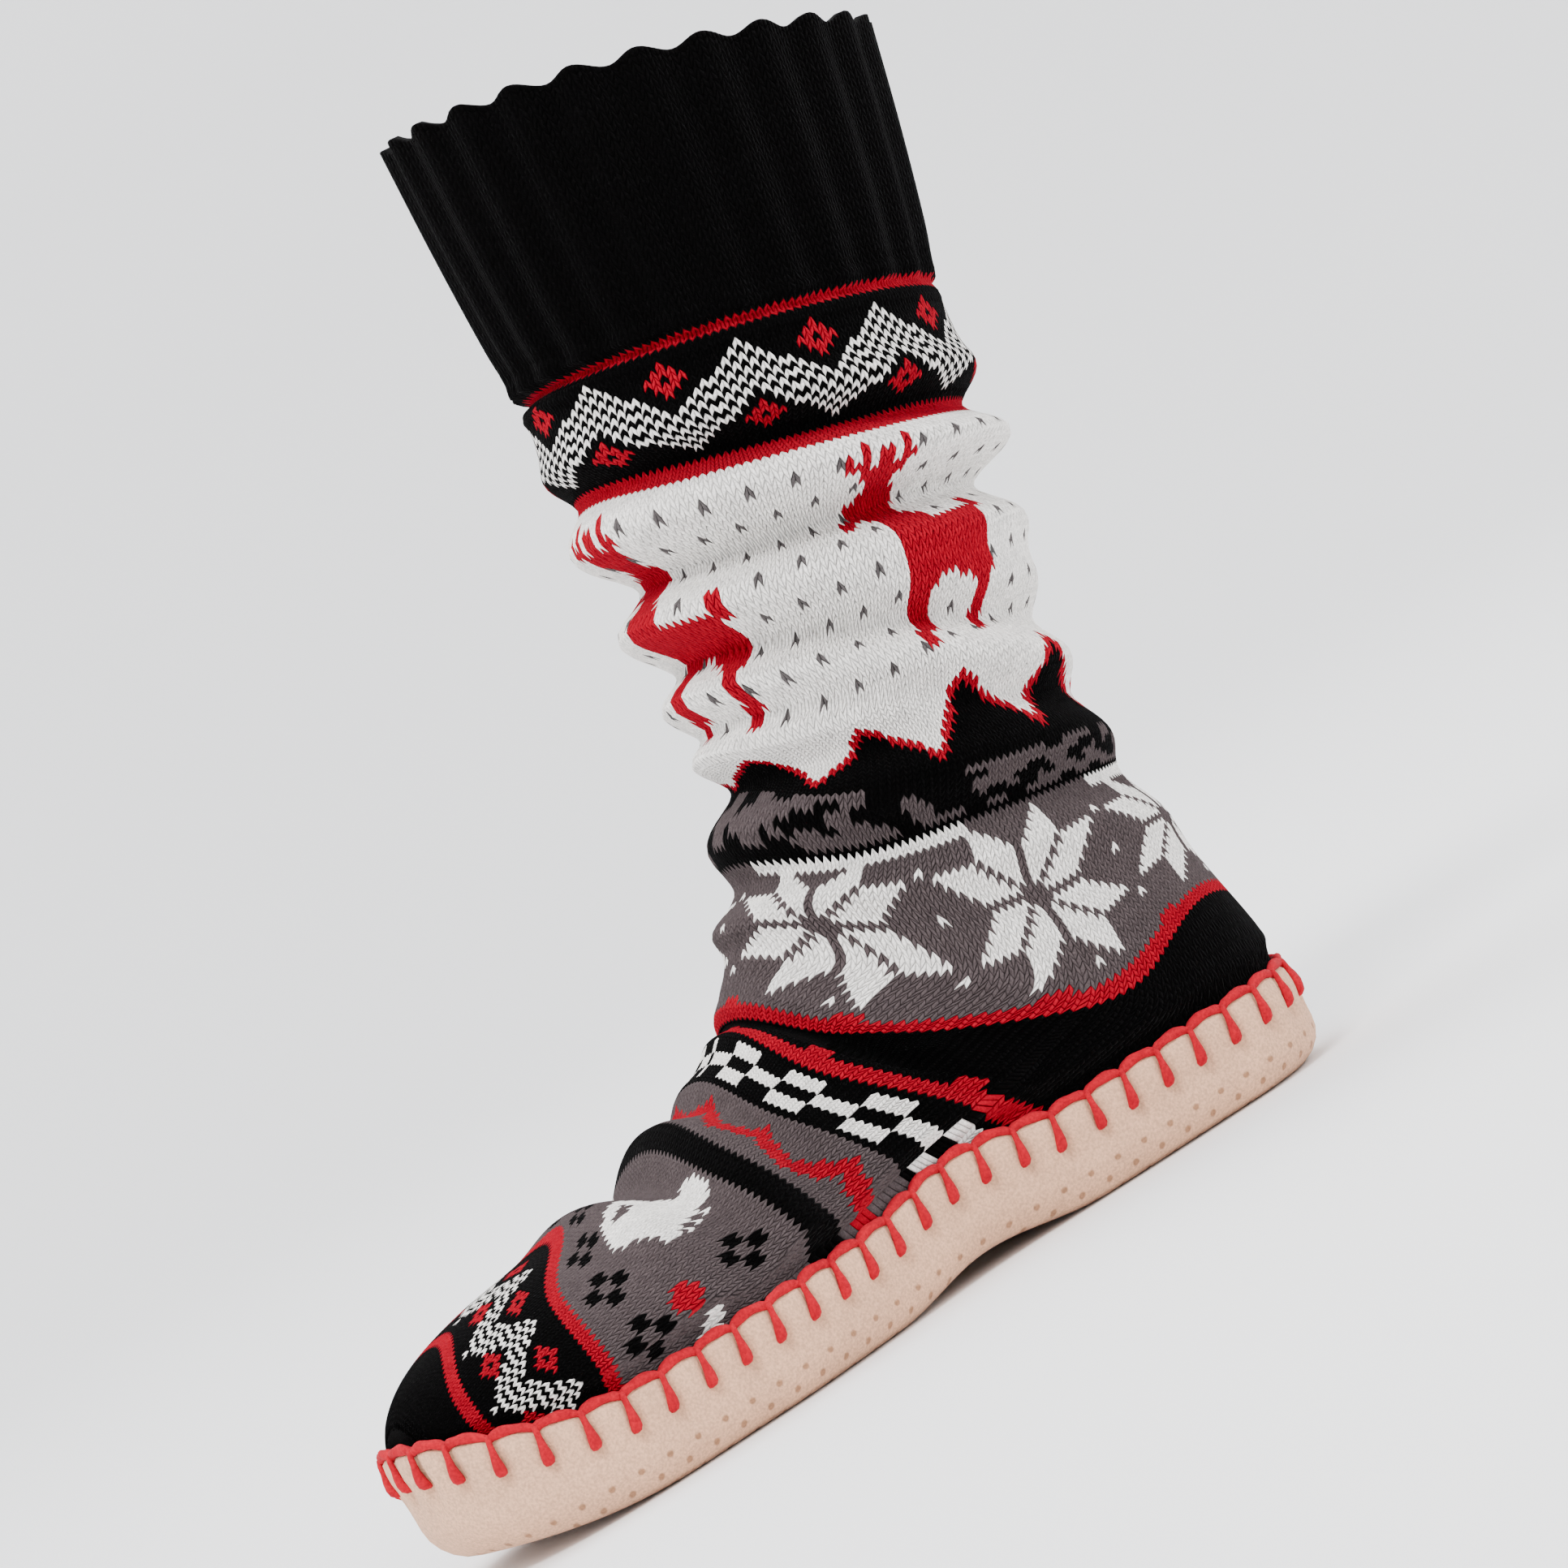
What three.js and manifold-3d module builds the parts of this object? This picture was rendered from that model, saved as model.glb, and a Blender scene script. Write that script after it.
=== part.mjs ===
import * as THREE from 'three';
import { mergeVertices } from 'three/addons/utils/BufferGeometryUtils.js';
import Module from 'manifold-3d';

// Knit slipper for the right foot: a tall knitted sock with a ribbed cuff, whip-stitched into a suede sole.
// Millimetres, +Z up, toe towards -Y, inner side of the foot towards +X.
// The origin lies on the floor under the middle of the heel.

const wasm = await Module();
wasm.setup();

// Suede sole
const SOLE_LENGTH = 262;
const BALL_WIDTH = 94;
const WAIST_WIDTH = 72;
const HEEL_WIDTH = 68;
const TOE_SPRING = 9;
const ARCH_RISE = 4;
const SUEDE_WALL = 2.2;
const SUEDE_EDGE = 23;
const TOE_EDGE_EXTRA = 4;
const BOTTOM_ROUND = 9;
const CLEARANCE = 0.3;

// Whip stitch along the suede edge
const STITCHES = 58;
const YARN_WIDTH = 2.8;
const STITCH_DROP = 7.5;
const LEG_TAPER = 0.8;
const TAB_RISE = 1.8;

// Insole
const INSOLE_THICKNESS = 5;
const INSOLE_ROUND = 3;
const INSOLE_SHOULDER = 0.6;

// Knitted sock
const KNIT_WALL = 2.8;
const KNIT_OVERHANG = 1.5;
const INSTEP_HEIGHT = 99;
const LEG_LENGTH = 188;
const LEG_DEPTH = 122;
const LEG_WIDTH = 92;
const LEG_LEAN = THREE.MathUtils.degToRad(6.5);
const FOLD_DEPTH = 5;

// Ribbed cuff
const CUFF_HEIGHT = 66;
const CUFF_STEP = 1.2;
const RIBS = 24;
const RIB_DEPTH = 1.8;
const RIM_SCALLOP = 2.4;

// Facets around the sole, the sock, its inside and the yarn
const OUTLINE_POINTS = 60;
const EDGE_POINTS = STITCHES * 2;
const KNIT_COLUMNS = RIBS * 2;
const INSIDE_COLUMNS = 20;
const YARN_SIDES = 4;

// Places along the foot, from the back of the heel
const HEEL_CENTRE = HEEL_WIDTH * 0.56;
const ANKLE_CENTRE = SOLE_LENGTH * 0.201;
const WAIST_START = 0.30;
const WAIST_END = 0.56;
const SPRING_START = 0.80;
const TOE_ROUND_START = 0.68;
const TOE_ROUND_POWER = 2.25;

// Sole plan: at is the share of the length from heel to toe tip, bend shifts the middle line
// towards the inner side, as a share of the ball width.
const SOLE_PLAN = [
  { at: 0.00, width: HEEL_WIDTH, bend: 0.00 },
  { at: 0.18, width: HEEL_WIDTH, bend: -0.01 },
  { at: 0.42, width: WAIST_WIDTH, bend: -0.07 },
  { at: 0.70, width: BALL_WIDTH, bend: -0.03 },
  { at: 1.00, width: BALL_WIDTH, bend: 0.07 },
];

// Foot rings, from the toe tip back to the heel. Each ring runs from a point on top of the foot to
// a point below or behind it: along is a share of the sole length, up a share of the instep height.
// crown and seat are the squareness of the ring's upper and lower half, where 2 is an ellipse.
const FOOT_RINGS = [
  { topAlong: 0.992, topUp: 0.38, lowAlong: 0.992, lowUp: 0.04, crown: 2.0, seat: 3.0, facets: 2 },
  { topAlong: 0.970, topUp: 0.46, lowAlong: 0.972, lowUp: -0.06, crown: 2.1, seat: 4.0, facets: 2 },
  { topAlong: 0.925, topUp: 0.52, lowAlong: 0.925, lowUp: -0.10, crown: 2.2, seat: 6.0, facets: 2 },
  { topAlong: 0.855, topUp: 0.56, lowAlong: 0.850, lowUp: -0.10, crown: 2.2, seat: 8.0, facets: 2 },
  { topAlong: 0.765, topUp: 0.585, lowAlong: 0.740, lowUp: -0.10, crown: 2.2, seat: 8.0, facets: 3 },
  { topAlong: 0.650, topUp: 0.63, lowAlong: 0.610, lowUp: -0.10, crown: 2.2, seat: 8.0, facets: 3 },
  { topAlong: 0.560, topUp: 0.71, lowAlong: 0.470, lowUp: -0.10, crown: 2.2, seat: 7.0, facets: 3 },
  { topAlong: 0.500, topUp: 0.80, lowAlong: 0.315, lowUp: -0.10, crown: 2.2, seat: 5.0, facets: 2 },
  { topAlong: 0.478, topUp: 0.88, lowAlong: 0.155, lowUp: -0.09, crown: 2.2, seat: 3.6, facets: 2 },
  { topAlong: 0.470, topUp: 0.92, lowAlong: 0.018, lowUp: -0.02, crown: 2.1, seat: 2.9, facets: 2 },
  { topAlong: 0.463, topUp: 0.95, lowAlong: 0.004, lowUp: 0.26, crown: 2.1, seat: 2.7, facets: 2 },
  { topAlong: 0.455, topUp: 1.00, lowAlong: 0.022, lowUp: 0.56, crown: 2.1, seat: 2.5, facets: 3 },
];

// Leg rings: up is the share of the way from the instep to the cuff, tilt is how far the back lies below
// the front, as a share of the leg depth. depth and width are shares of the leg's size at its rim, and
// forward is a shift towards the toe, as a share of the sole length. Cuff rings: up is the share of the
// cuff's own height.
const LEG_RINGS = [
  { up: 0.07, tilt: 0.29, depth: 0.760, width: 0.78, forward: 0.020, facets: 4 },
  { up: 0.26, tilt: 0.25, depth: 0.735, width: 0.82, forward: 0.024, facets: 4 },
  { up: 0.48, tilt: 0.22, depth: 0.766, width: 0.87, forward: 0.022, facets: 4 },
  { up: 0.69, tilt: 0.21, depth: 0.828, width: 0.93, forward: 0.020, facets: 4 },
  { up: 0.87, tilt: 0.20, depth: 0.860, width: 0.95, forward: 0.017, facets: 3 },
];
const CUFF_RINGS = [
  { up: 0.00, tilt: 0.20, depth: 0.852, width: 0.93, forward: 0.013, facets: 1 },
  { up: 0.22, tilt: 0.21, depth: 0.898, width: 0.95, forward: 0.010, facets: 1 },
  { up: 0.60, tilt: 0.23, depth: 0.953, width: 0.98, forward: 0.005, facets: 1 },
  { up: 1.00, tilt: 0.25, depth: 1.000, width: 1.00, forward: 0.000, facets: 1 },
];
const INSIDE_START = 0.5;

// Slouch folds: front and back are the ring row where the crease meets the front and the back,
// depth is a share of the fold depth, width in rows, and deepest is the share of a turn from the front over
// the inner side where the crease is deepest.
const FOLDS = [
  { front: 5.1, back: 4.4, depth: 0.8, width: 0.32, deepest: 0.00 },
  { front: 11.4, back: 12.1, depth: 0.7, width: 0.35, deepest: 0.10 },
  { front: 12.7, back: 12.5, depth: 0.9, width: 0.34, deepest: 0.15 },
  { front: 13.5, back: 13.1, depth: 0.7, width: 0.28, deepest: 0.00 },
  { front: 14.1, back: 13.8, depth: 0.9, width: 0.30, deepest: 0.30 },
  { front: 14.85, back: 14.65, depth: 0.9, width: 0.30, deepest: 0.20 },
  { front: 15.5, back: 15.25, depth: 1.0, width: 0.32, deepest: 0.12 },
];
const RIDGE_SHARE = 0.45;
const RIDGE_PLACE = 1.7;
const FOLD_REACH = 0.4;

// Value of a column at a share of the length, eased between the table's rows.
function eased(rows, column, at) {
  const next = rows.findIndex((row) => row.at >= at);
  if (next <= 0) return rows[next < 0 ? rows.length - 1 : 0][column];
  const [from, to] = [rows[next - 1], rows[next]];
  const share = (at - from.at) / (to.at - from.at);
  return THREE.MathUtils.lerp(from[column], to[column], share * share * (3 - 2 * share));
}

// Half width of the sole in plan: a round heel, a superellipse at the toe.
function soleHalf(share) {
  const heelEnd = HEEL_WIDTH / 2 / SOLE_LENGTH;
  let round = 1;
  if (share < heelEnd) round = Math.sqrt(Math.max(0, 1 - (1 - share / heelEnd) ** 2));
  if (share > TOE_ROUND_START) {
    const toe = Math.min(1, (share - TOE_ROUND_START) / (1 - TOE_ROUND_START));
    round = (1 - toe ** TOE_ROUND_POWER) ** (1 / TOE_ROUND_POWER);
  }
  return eased(SOLE_PLAN, 'width', share) / 2 * round;
}

function soleMiddle(share) {
  return eased(SOLE_PLAN, 'bend', share) * BALL_WIDTH;
}

// One side of the sole's edge, heel to toe, in points that lie closer together at the round ends.
function soleSide(side) {
  const points = [];
  for (let i = 0; i <= OUTLINE_POINTS; i++) {
    const share = (1 - Math.cos(Math.PI * i / OUTLINE_POINTS)) / 2;
    const x = soleMiddle(share) + side * soleHalf(share);
    points.push(new THREE.Vector3(x, HEEL_CENTRE - share * SOLE_LENGTH, 0));
  }
  return new THREE.CatmullRomCurve3(points);
}

// The whole edge, clockwise from the heel over the inner side, with a point and its inward normal.
// Point i and point count - i face each other across the sole.
function soleLoop(count) {
  const inner = soleSide(1).getSpacedPoints(count / 2);
  const outer = soleSide(-1).getSpacedPoints(count / 2);
  const points = [...inner, ...outer.slice(1, -1).reverse()];
  return points.map((point, i) => {
    const ahead = points[(i + 1) % count];
    const behind = points[(i + count - 1) % count];
    const along = ahead.clone().sub(behind).normalize();
    return { point, inward: new THREE.Vector3(along.y, -along.x, 0) };
  });
}

// Height of the underside above the floor.
function soleLift(y) {
  const share = (HEEL_CENTRE - y) / SOLE_LENGTH;
  if (share > SPRING_START) return TOE_SPRING * ((share - SPRING_START) / (1 - SPRING_START)) ** 2;
  if (share <= WAIST_START || share >= WAIST_END) return 0;
  return ARCH_RISE * Math.sin(Math.PI * (share - WAIST_START) / (WAIST_END - WAIST_START)) ** 2;
}

// Height of the suede edge above the underside.
function edgeHeight(y) {
  const share = (HEEL_CENTRE - y) / SOLE_LENGTH;
  const toe = Math.max(0, (share - SPRING_START) / (1 - SPRING_START));
  return SUEDE_EDGE + TOE_EDGE_EXTRA * toe * toe;
}

function closedGeometry(positions, faces) {
  const geometry = new THREE.BufferGeometry();
  geometry.setAttribute('position', new THREE.Float32BufferAttribute(positions.flatMap((p) => p.toArray()), 3));
  geometry.setIndex(faces.flat());
  return geometry;
}

// Faces between two rings of the same count; the rings run clockwise and the second lies further along.
function bandFaces(from, to, count) {
  const faces = [];
  for (let i = 0; i < count; i++) {
    const next = (i + 1) % count;
    faces.push([from + i, to + i, to + next], [from + i, to + next, from + next]);
  }
  return faces;
}

// Faces that close a sole-shaped ring with rungs from each point to the one that faces it.
function rungFaces(start, count, facingUp) {
  const faces = [];
  const add = (a, b, c) => faces.push(facingUp ? [start + a, start + c, start + b] : [start + a, start + b, start + c]);
  for (let i = 0; i < count / 2; i++) {
    const [inner, innerNext] = [i, i + 1];
    const [outer, outerNext] = [(count - i) % count, count - i - 1];
    if (i < count / 2 - 1) add(inner, innerNext, outerNext);
    else add(inner, innerNext, outer);
    if (i > 0 && i < count / 2 - 1) add(inner, outerNext, outer);
  }
  return faces;
}

// Sole-shaped solid through levels of an inset from the sole's edge and a height at each edge point.
function soleSolid(count, levels) {
  const loop = soleLoop(count);
  const positions = [];
  const faces = [...rungFaces(0, count, false)];
  levels.forEach(({ inset, height }, level) => {
    loop.forEach(({ point, inward }, i) => {
      const place = point.clone().addScaledVector(inward, inset);
      place.z = height(place.y, i);
      positions.push(place);
    });
    if (level > 0) faces.push(...bandFaces((level - 1) * count, level * count, count));
  });
  faces.push(...rungFaces((levels.length - 1) * count, count, true));
  return closedGeometry(positions, faces);
}

const aboveUnderside = (height) => (y) => soleLift(y) + height;
const aboveEdge = (height) => (y) => soleLift(y) + edgeHeight(y) + height;
// The suede edge rises in a tab between each two stitches.
const tabEdge = (y, i) => aboveEdge(0)(y) + TAB_RISE * (i % 2);

// Level of a rounded corner between the underside and the side, at an angle up from the floor.
function cornerLevel(radius, angle, wall) {
  const inset = BOTTOM_ROUND - radius * Math.sin(angle);
  return { inset, height: aboveUnderside(wall + radius * (1 - Math.cos(angle))) };
}

function suedeSole() {
  const innerRound = BOTTOM_ROUND - SUEDE_WALL;
  return soleSolid(EDGE_POINTS, [
    cornerLevel(BOTTOM_ROUND, 0, 0),
    cornerLevel(BOTTOM_ROUND, Math.PI / 4, 0),
    cornerLevel(BOTTOM_ROUND, Math.PI / 2, 0),
    { inset: 0, height: tabEdge },
    { inset: SUEDE_WALL, height: tabEdge },
    cornerLevel(innerRound, Math.PI / 2, SUEDE_WALL),
    cornerLevel(innerRound, Math.PI / 4, SUEDE_WALL),
    cornerLevel(innerRound, 0, SUEDE_WALL),
  ]);
}

// The yarn runs on the outer corner of the suede edge, and the knit stands inside both.
const KNIT_INSET = Math.max(SUEDE_WALL, YARN_WIDTH / 2) + CLEARANCE;
const NECK_TOP = TAB_RISE + YARN_WIDTH + 2 * CLEARANCE;

function insole() {
  const inset = KNIT_INSET + KNIT_WALL + CLEARANCE;
  const floor = SUEDE_WALL + CLEARANCE;
  return soleSolid(EDGE_POINTS, [
    { inset: Math.max(BOTTOM_ROUND, inset), height: aboveUnderside(floor) },
    { inset, height: aboveUnderside(floor + INSOLE_THICKNESS * INSOLE_SHOULDER) },
    { inset: inset + INSOLE_ROUND, height: aboveUnderside(floor + INSOLE_THICKNESS) },
  ]);
}

// The sock's rings in order, each with its top and low point in the foot's middle plane.
const middlePlane = (along, up) => new THREE.Vector3(0, HEEL_CENTRE - along, up);

function footRing(row) {
  const share = (row.topAlong + row.lowAlong) / 2;
  return {
    top: middlePlane(row.topAlong * SOLE_LENGTH, row.topUp * INSTEP_HEIGHT),
    low: middlePlane(row.lowAlong * SOLE_LENGTH, row.lowUp * INSTEP_HEIGHT),
    half: soleHalf(share) + KNIT_OVERHANG,
    bend: soleMiddle(share),
    crown: row.crown,
    seat: row.seat,
    facets: row.facets,
  };
}

function legRing({ depth, width, tilt, forward, facets }, rise) {
  const along = ANKLE_CENTRE - Math.tan(LEG_LEAN) * rise + forward * SOLE_LENGTH;
  const halfDepth = depth * LEG_DEPTH / 2;
  const halfTilt = tilt * LEG_DEPTH / 2;
  return {
    top: middlePlane(along + halfDepth, INSTEP_HEIGHT + rise + halfTilt),
    low: middlePlane(along - halfDepth, INSTEP_HEIGHT + rise - halfTilt),
    half: width * LEG_WIDTH / 2,
    bend: 0,
    crown: 2,
    seat: 2,
    facets,
  };
}

const SHAFT_LENGTH = LEG_LENGTH - CUFF_HEIGHT;
const SOCK_ROWS = [
  ...FOOT_RINGS.map(footRing),
  ...LEG_RINGS.map((row) => legRing(row, row.up * SHAFT_LENGTH)),
  ...CUFF_RINGS.map((row) => legRing(row, SHAFT_LENGTH + row.up * CUFF_HEIGHT)),
];
const LAST_ROW = SOCK_ROWS.length - 1;
const CUFF_ROW = FOOT_RINGS.length + LEG_RINGS.length;

const throughRows = (pick) => new THREE.CatmullRomCurve3(SOCK_ROWS.map(pick), false, 'catmullrom', 0.5);
const topLine = throughRows((row) => row.top);
const lowLine = throughRows((row) => row.low);
const girthLine = throughRows((row) => new THREE.Vector3(row.half, row.bend, 0));
const squareLine = throughRows((row) => new THREE.Vector3(row.crown, row.seat, 0));

// Rise of the knit at a row and a turn around the ring: a trough along each crease, a ridge beside it.
function foldRise(row, turn) {
  let rise = 0;
  for (const fold of FOLDS) {
    const towardsBack = (1 - Math.cos(2 * Math.PI * turn)) / 2;
    const crease = THREE.MathUtils.lerp(fold.front, fold.back, towardsBack);
    const distance = (row - crease) / fold.width;
    const nearness = (1 + Math.cos(2 * Math.PI * (turn - fold.deepest))) / 2;
    const ridges = Math.exp(-((distance - RIDGE_PLACE) ** 2)) + Math.exp(-((distance + RIDGE_PLACE) ** 2));
    const profile = RIDGE_SHARE * ridges - Math.exp(-(distance ** 2));
    rise += FOLD_DEPTH * fold.depth * THREE.MathUtils.lerp(FOLD_REACH, 1, nearness) * profile;
  }
  return rise;
}

const ribWave = (turn) => (Math.cos(2 * Math.PI * RIBS * turn) - 1) / 2;

const signedPower = (value, power) => Math.sign(value) * Math.abs(value) ** power;

// A point of the sock's surface, or of its inside where inset is the wall.
function sockPoint(row, turn, inset) {
  const at = row / LAST_ROW;
  const [top, low] = [topLine.getPoint(at), lowLine.getPoint(at)];
  const { x: half, y: bend } = girthLine.getPoint(at);
  const { x: crown, y: seat } = squareLine.getPoint(at);
  const middle = top.clone().add(low).multiplyScalar(0.5);
  const reach = top.distanceTo(low) / 2 - inset;
  const forward = Math.cos(2 * Math.PI * turn);
  const power = 2 / (forward > 0 ? crown : seat);
  const spoke = top.sub(low).normalize().multiplyScalar(reach * signedPower(forward, power));
  spoke.x += (half - inset) * signedPower(Math.sin(2 * Math.PI * turn), power);
  let rise = foldRise(row, turn);
  if (row >= CUFF_ROW && inset === 0) rise += CUFF_STEP + RIB_DEPTH * ribWave(turn);
  spoke.setLength(spoke.length() + rise);
  const point = middle.add(spoke);
  point.x += bend;
  if (row === LAST_ROW && inset === 0) point.z += RIM_SCALLOP * ribWave(turn);
  return point;
}

// Closed solid of the sock from a first row to the rim, with its last ring lifted by a lip.
function sockSolid(columns, firstRow, inset, lip) {
  const rows = [];
  SOCK_ROWS.forEach(({ facets }, row) => {
    for (let i = 0; i < facets; i++) rows.push(row + i / facets);
  });
  const kept = rows.filter((row) => row >= firstRow);
  const positions = [];
  const faces = [];
  const addRing = (row, lift) => {
    for (let i = 0; i < columns; i++) {
      const point = sockPoint(row, 1 - i / columns, inset);
      point.z += lift;
      positions.push(point);
    }
  };
  kept.forEach((row) => addRing(row, 0));
  if (lip > 0) addRing(LAST_ROW, lip);
  const rings = positions.length / columns;
  for (let ring = 1; ring < rings; ring++) faces.push(...bandFaces((ring - 1) * columns, ring * columns, columns));
  const capCentre = (start) => {
    const centre = new THREE.Vector3();
    for (let i = 0; i < columns; i++) centre.addScaledVector(positions[start + i], 1 / columns);
    positions.push(centre);
    return positions.length - 1;
  };
  const lastStart = (rings - 1) * columns;
  const [toe, rim] = [capCentre(0), capCentre(lastStart)];
  for (let i = 0; i < columns; i++) {
    const next = (i + 1) % columns;
    faces.push([toe, i, next], [rim, lastStart + next, lastStart + i]);
  }
  return closedGeometry(positions, faces);
}

function toSolid(geometry) {
  const shape = geometry.clone();
  shape.deleteAttribute('normal');
  shape.deleteAttribute('uv');
  const merged = mergeVertices(shape);
  const vertProperties = new Float32Array(merged.attributes.position.array);
  const triVerts = new Uint32Array(merged.index.array);
  return new wasm.Manifold(new wasm.Mesh({ numProp: 3, vertProperties, triVerts }));
}

function toGeometry(solid) {
  const { vertProperties, triVerts } = solid.getMesh();
  const geometry = new THREE.BufferGeometry();
  geometry.setAttribute('position', new THREE.Float32BufferAttribute(vertProperties, 3));
  geometry.setIndex(Array.from(triVerts));
  return geometry;
}

// Everything around and under the foot up to a height above the suede edge, with the room that is
// left inside the sole kept free.
function aroundFoot(inset, heightAboveEdge, floor) {
  const outside = -KNIT_OVERHANG - BALL_WIDTH / 2;
  return toSolid(soleSolid(EDGE_POINTS, [
    { inset: outside, height: aboveUnderside(outside) },
    { inset: outside, height: aboveEdge(heightAboveEdge) },
    { inset, height: aboveEdge(heightAboveEdge) },
    { inset, height: floor },
  ]));
}

// The knitted sock is one wall from the cuff to its hem, which stands inside the sole above its
// rounded bottom, and is open at both.
function knitUpper() {
  const outside = toSolid(sockSolid(KNIT_COLUMNS, 0, 0, 0))
    .subtract(aroundFoot(KNIT_INSET, NECK_TOP, aboveUnderside(BOTTOM_ROUND + CLEARANCE)));
  const room = toSolid(sockSolid(INSIDE_COLUMNS, INSIDE_START, KNIT_WALL, KNIT_WALL))
    .subtract(aroundFoot(KNIT_INSET + KNIT_WALL, NECK_TOP + KNIT_WALL, aboveUnderside(0)));
  return toGeometry(outside.subtract(room));
}

// One leg of the whip stitch, standing on the face of the suede, thicker at its foot.
function stitchLeg({ point, inward }) {
  const height = STITCH_DROP + CLEARANCE + YARN_WIDTH / 2;
  const leg = new THREE.CylinderGeometry(YARN_WIDTH * LEG_TAPER / 2, YARN_WIDTH / 2, height, YARN_SIDES);
  leg.rotateX(Math.PI / 2);
  leg.rotateZ(Math.atan2(inward.y, inward.x));
  const place = point.clone().addScaledVector(inward, -CLEARANCE - YARN_WIDTH / 2);
  leg.translate(place.x, place.y, aboveEdge(height / 2 - STITCH_DROP)(point.y));
  return leg;
}

// Yarn along the tabbed edge, joined to one leg for each stitch.
function edgeYarn() {
  const loop = soleLoop(EDGE_POINTS);
  const radius = YARN_WIDTH / 2;
  const ring = new THREE.TorusGeometry(SOLE_LENGTH / 2, radius, YARN_SIDES, EDGE_POINTS);
  const vertices = ring.attributes.position;
  for (let side = 0; side <= YARN_SIDES; side++) {
    for (let i = 0; i <= EDGE_POINTS; i++) {
      const { point, inward } = loop[(EDGE_POINTS - i) % EDGE_POINTS];
      const around = 2 * Math.PI * side / YARN_SIDES;
      const place = point.clone().addScaledVector(inward, -radius * Math.cos(around));
      const height = tabEdge(point.y, i) + CLEARANCE + radius + radius * Math.sin(around);
      vertices.setXYZ(side * (EDGE_POINTS + 1) + i, place.x, place.y, height);
    }
  }
  let yarn = toSolid(ring);
  for (let i = 0; i < EDGE_POINTS; i += 2) yarn = yarn.add(toSolid(stitchLeg(loop[i])));
  return toGeometry(yarn);
}

function mesh(name, geometry, color, roughness) {
  const piece = new THREE.Mesh(geometry, new THREE.MeshStandardMaterial({ color, roughness, metalness: 0 }));
  piece.name = name;
  return piece;
}

const slipper = new THREE.Group();
slipper.add(mesh('upper', knitUpper(), 0x35303a, 0.95));
slipper.add(mesh('sole', suedeSole(), 0xd6bea8, 0.9));
slipper.add(mesh('insole', insole(), 0xe8e2d8, 0.95));
slipper.add(mesh('edge_yarn', edgeYarn(), 0xd8232e, 0.9));

export default slipper;
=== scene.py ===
import math

import bmesh
import bpy
import numpy as np
from mathutils import Matrix, Vector
from mathutils.kdtree import KDTree


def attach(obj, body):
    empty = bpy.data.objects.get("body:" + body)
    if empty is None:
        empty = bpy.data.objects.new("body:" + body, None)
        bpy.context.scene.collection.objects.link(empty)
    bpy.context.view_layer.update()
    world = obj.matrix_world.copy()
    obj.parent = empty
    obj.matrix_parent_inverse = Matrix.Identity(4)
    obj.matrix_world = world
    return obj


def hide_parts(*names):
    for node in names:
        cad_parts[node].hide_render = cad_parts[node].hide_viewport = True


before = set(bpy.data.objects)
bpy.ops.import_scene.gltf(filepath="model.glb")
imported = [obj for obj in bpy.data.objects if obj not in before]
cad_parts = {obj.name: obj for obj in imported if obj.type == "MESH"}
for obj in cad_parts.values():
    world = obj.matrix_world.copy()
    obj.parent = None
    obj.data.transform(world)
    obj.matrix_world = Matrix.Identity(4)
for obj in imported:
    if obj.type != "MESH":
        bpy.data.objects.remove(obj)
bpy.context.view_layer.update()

# The knit slipper: a sock knitted in bands of pattern, stitched into a suede sole with red yarn.
# Metres, the heel towards +Y, the toe towards -Y and the inner side towards +X.

SOLE_LENGTH = 0.262
BALL_WIDTH = 0.094
WAIST_WIDTH = 0.072
HEEL_WIDTH = 0.068
TOE_SPRING = 0.009
ARCH_RISE = 0.004
HEEL_CENTRE = HEEL_WIDTH * 0.56
WAIST_START, WAIST_END, SPRING_START = 0.30, 0.56, 0.80
TOE_ROUND_START = 0.68
TOE_ROUND_POWER = 2.25
OUTLINE_SAMPLES = 400
SPINE_TOE_END = BALL_WIDTH * 0.4
SPINE_HEEL_END = HEEL_WIDTH * 0.45

SUEDE_WALL = 0.0022
SUEDE_EDGE = 0.023
TOE_EDGE_EXTRA = 0.004
BOTTOM_ROUND = 0.009
TAB_RISE = 0.0018
CLEARANCE = 0.0003

STITCHES = 58
YARN_WIDTH = 0.0028
STITCH_DROP = 0.0075
STITCH_SLANT = 0.0014
EDGE_STEPS = 4 * STITCHES
SUEDE_STEPS = 8 * STITCHES
YARN_STEPS = 10 * STITCHES

INSOLE_THICKNESS = 0.005
INSOLE_GAP = 0.0012
INSOLE_ROUND = 0.003
INSOLE_CROWN = 0.0004

KNIT_WALL = 0.0024
KNIT_OVERHANG = 0.0015
INSTEP_HEIGHT = 0.099
ANKLE_CENTRE = SOLE_LENGTH * 0.201
LEG_LENGTH = 0.188
LEG_DEPTH = 0.122
LEG_WIDTH = 0.092
LEG_LEAN = math.radians(6.5)
CUFF_HEIGHT = 0.066
CUFF_STEP = 0.0012
CUFF_STEP_REACH = 0.06
RIBS = 24
RIB_DEPTH = 0.0018
RIM_SCALLOP = 0.0024
RIM_REACH = 0.4
SHAFT_LENGTH = LEG_LENGTH - CUFF_HEIGHT

KNIT_INSET = max(SUEDE_WALL, YARN_WIDTH / 2) + CLEARANCE
NECK_TOP = TAB_RISE + YARN_WIDTH + 2 * CLEARANCE
HEM = BOTTOM_ROUND + CLEARANCE

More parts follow.
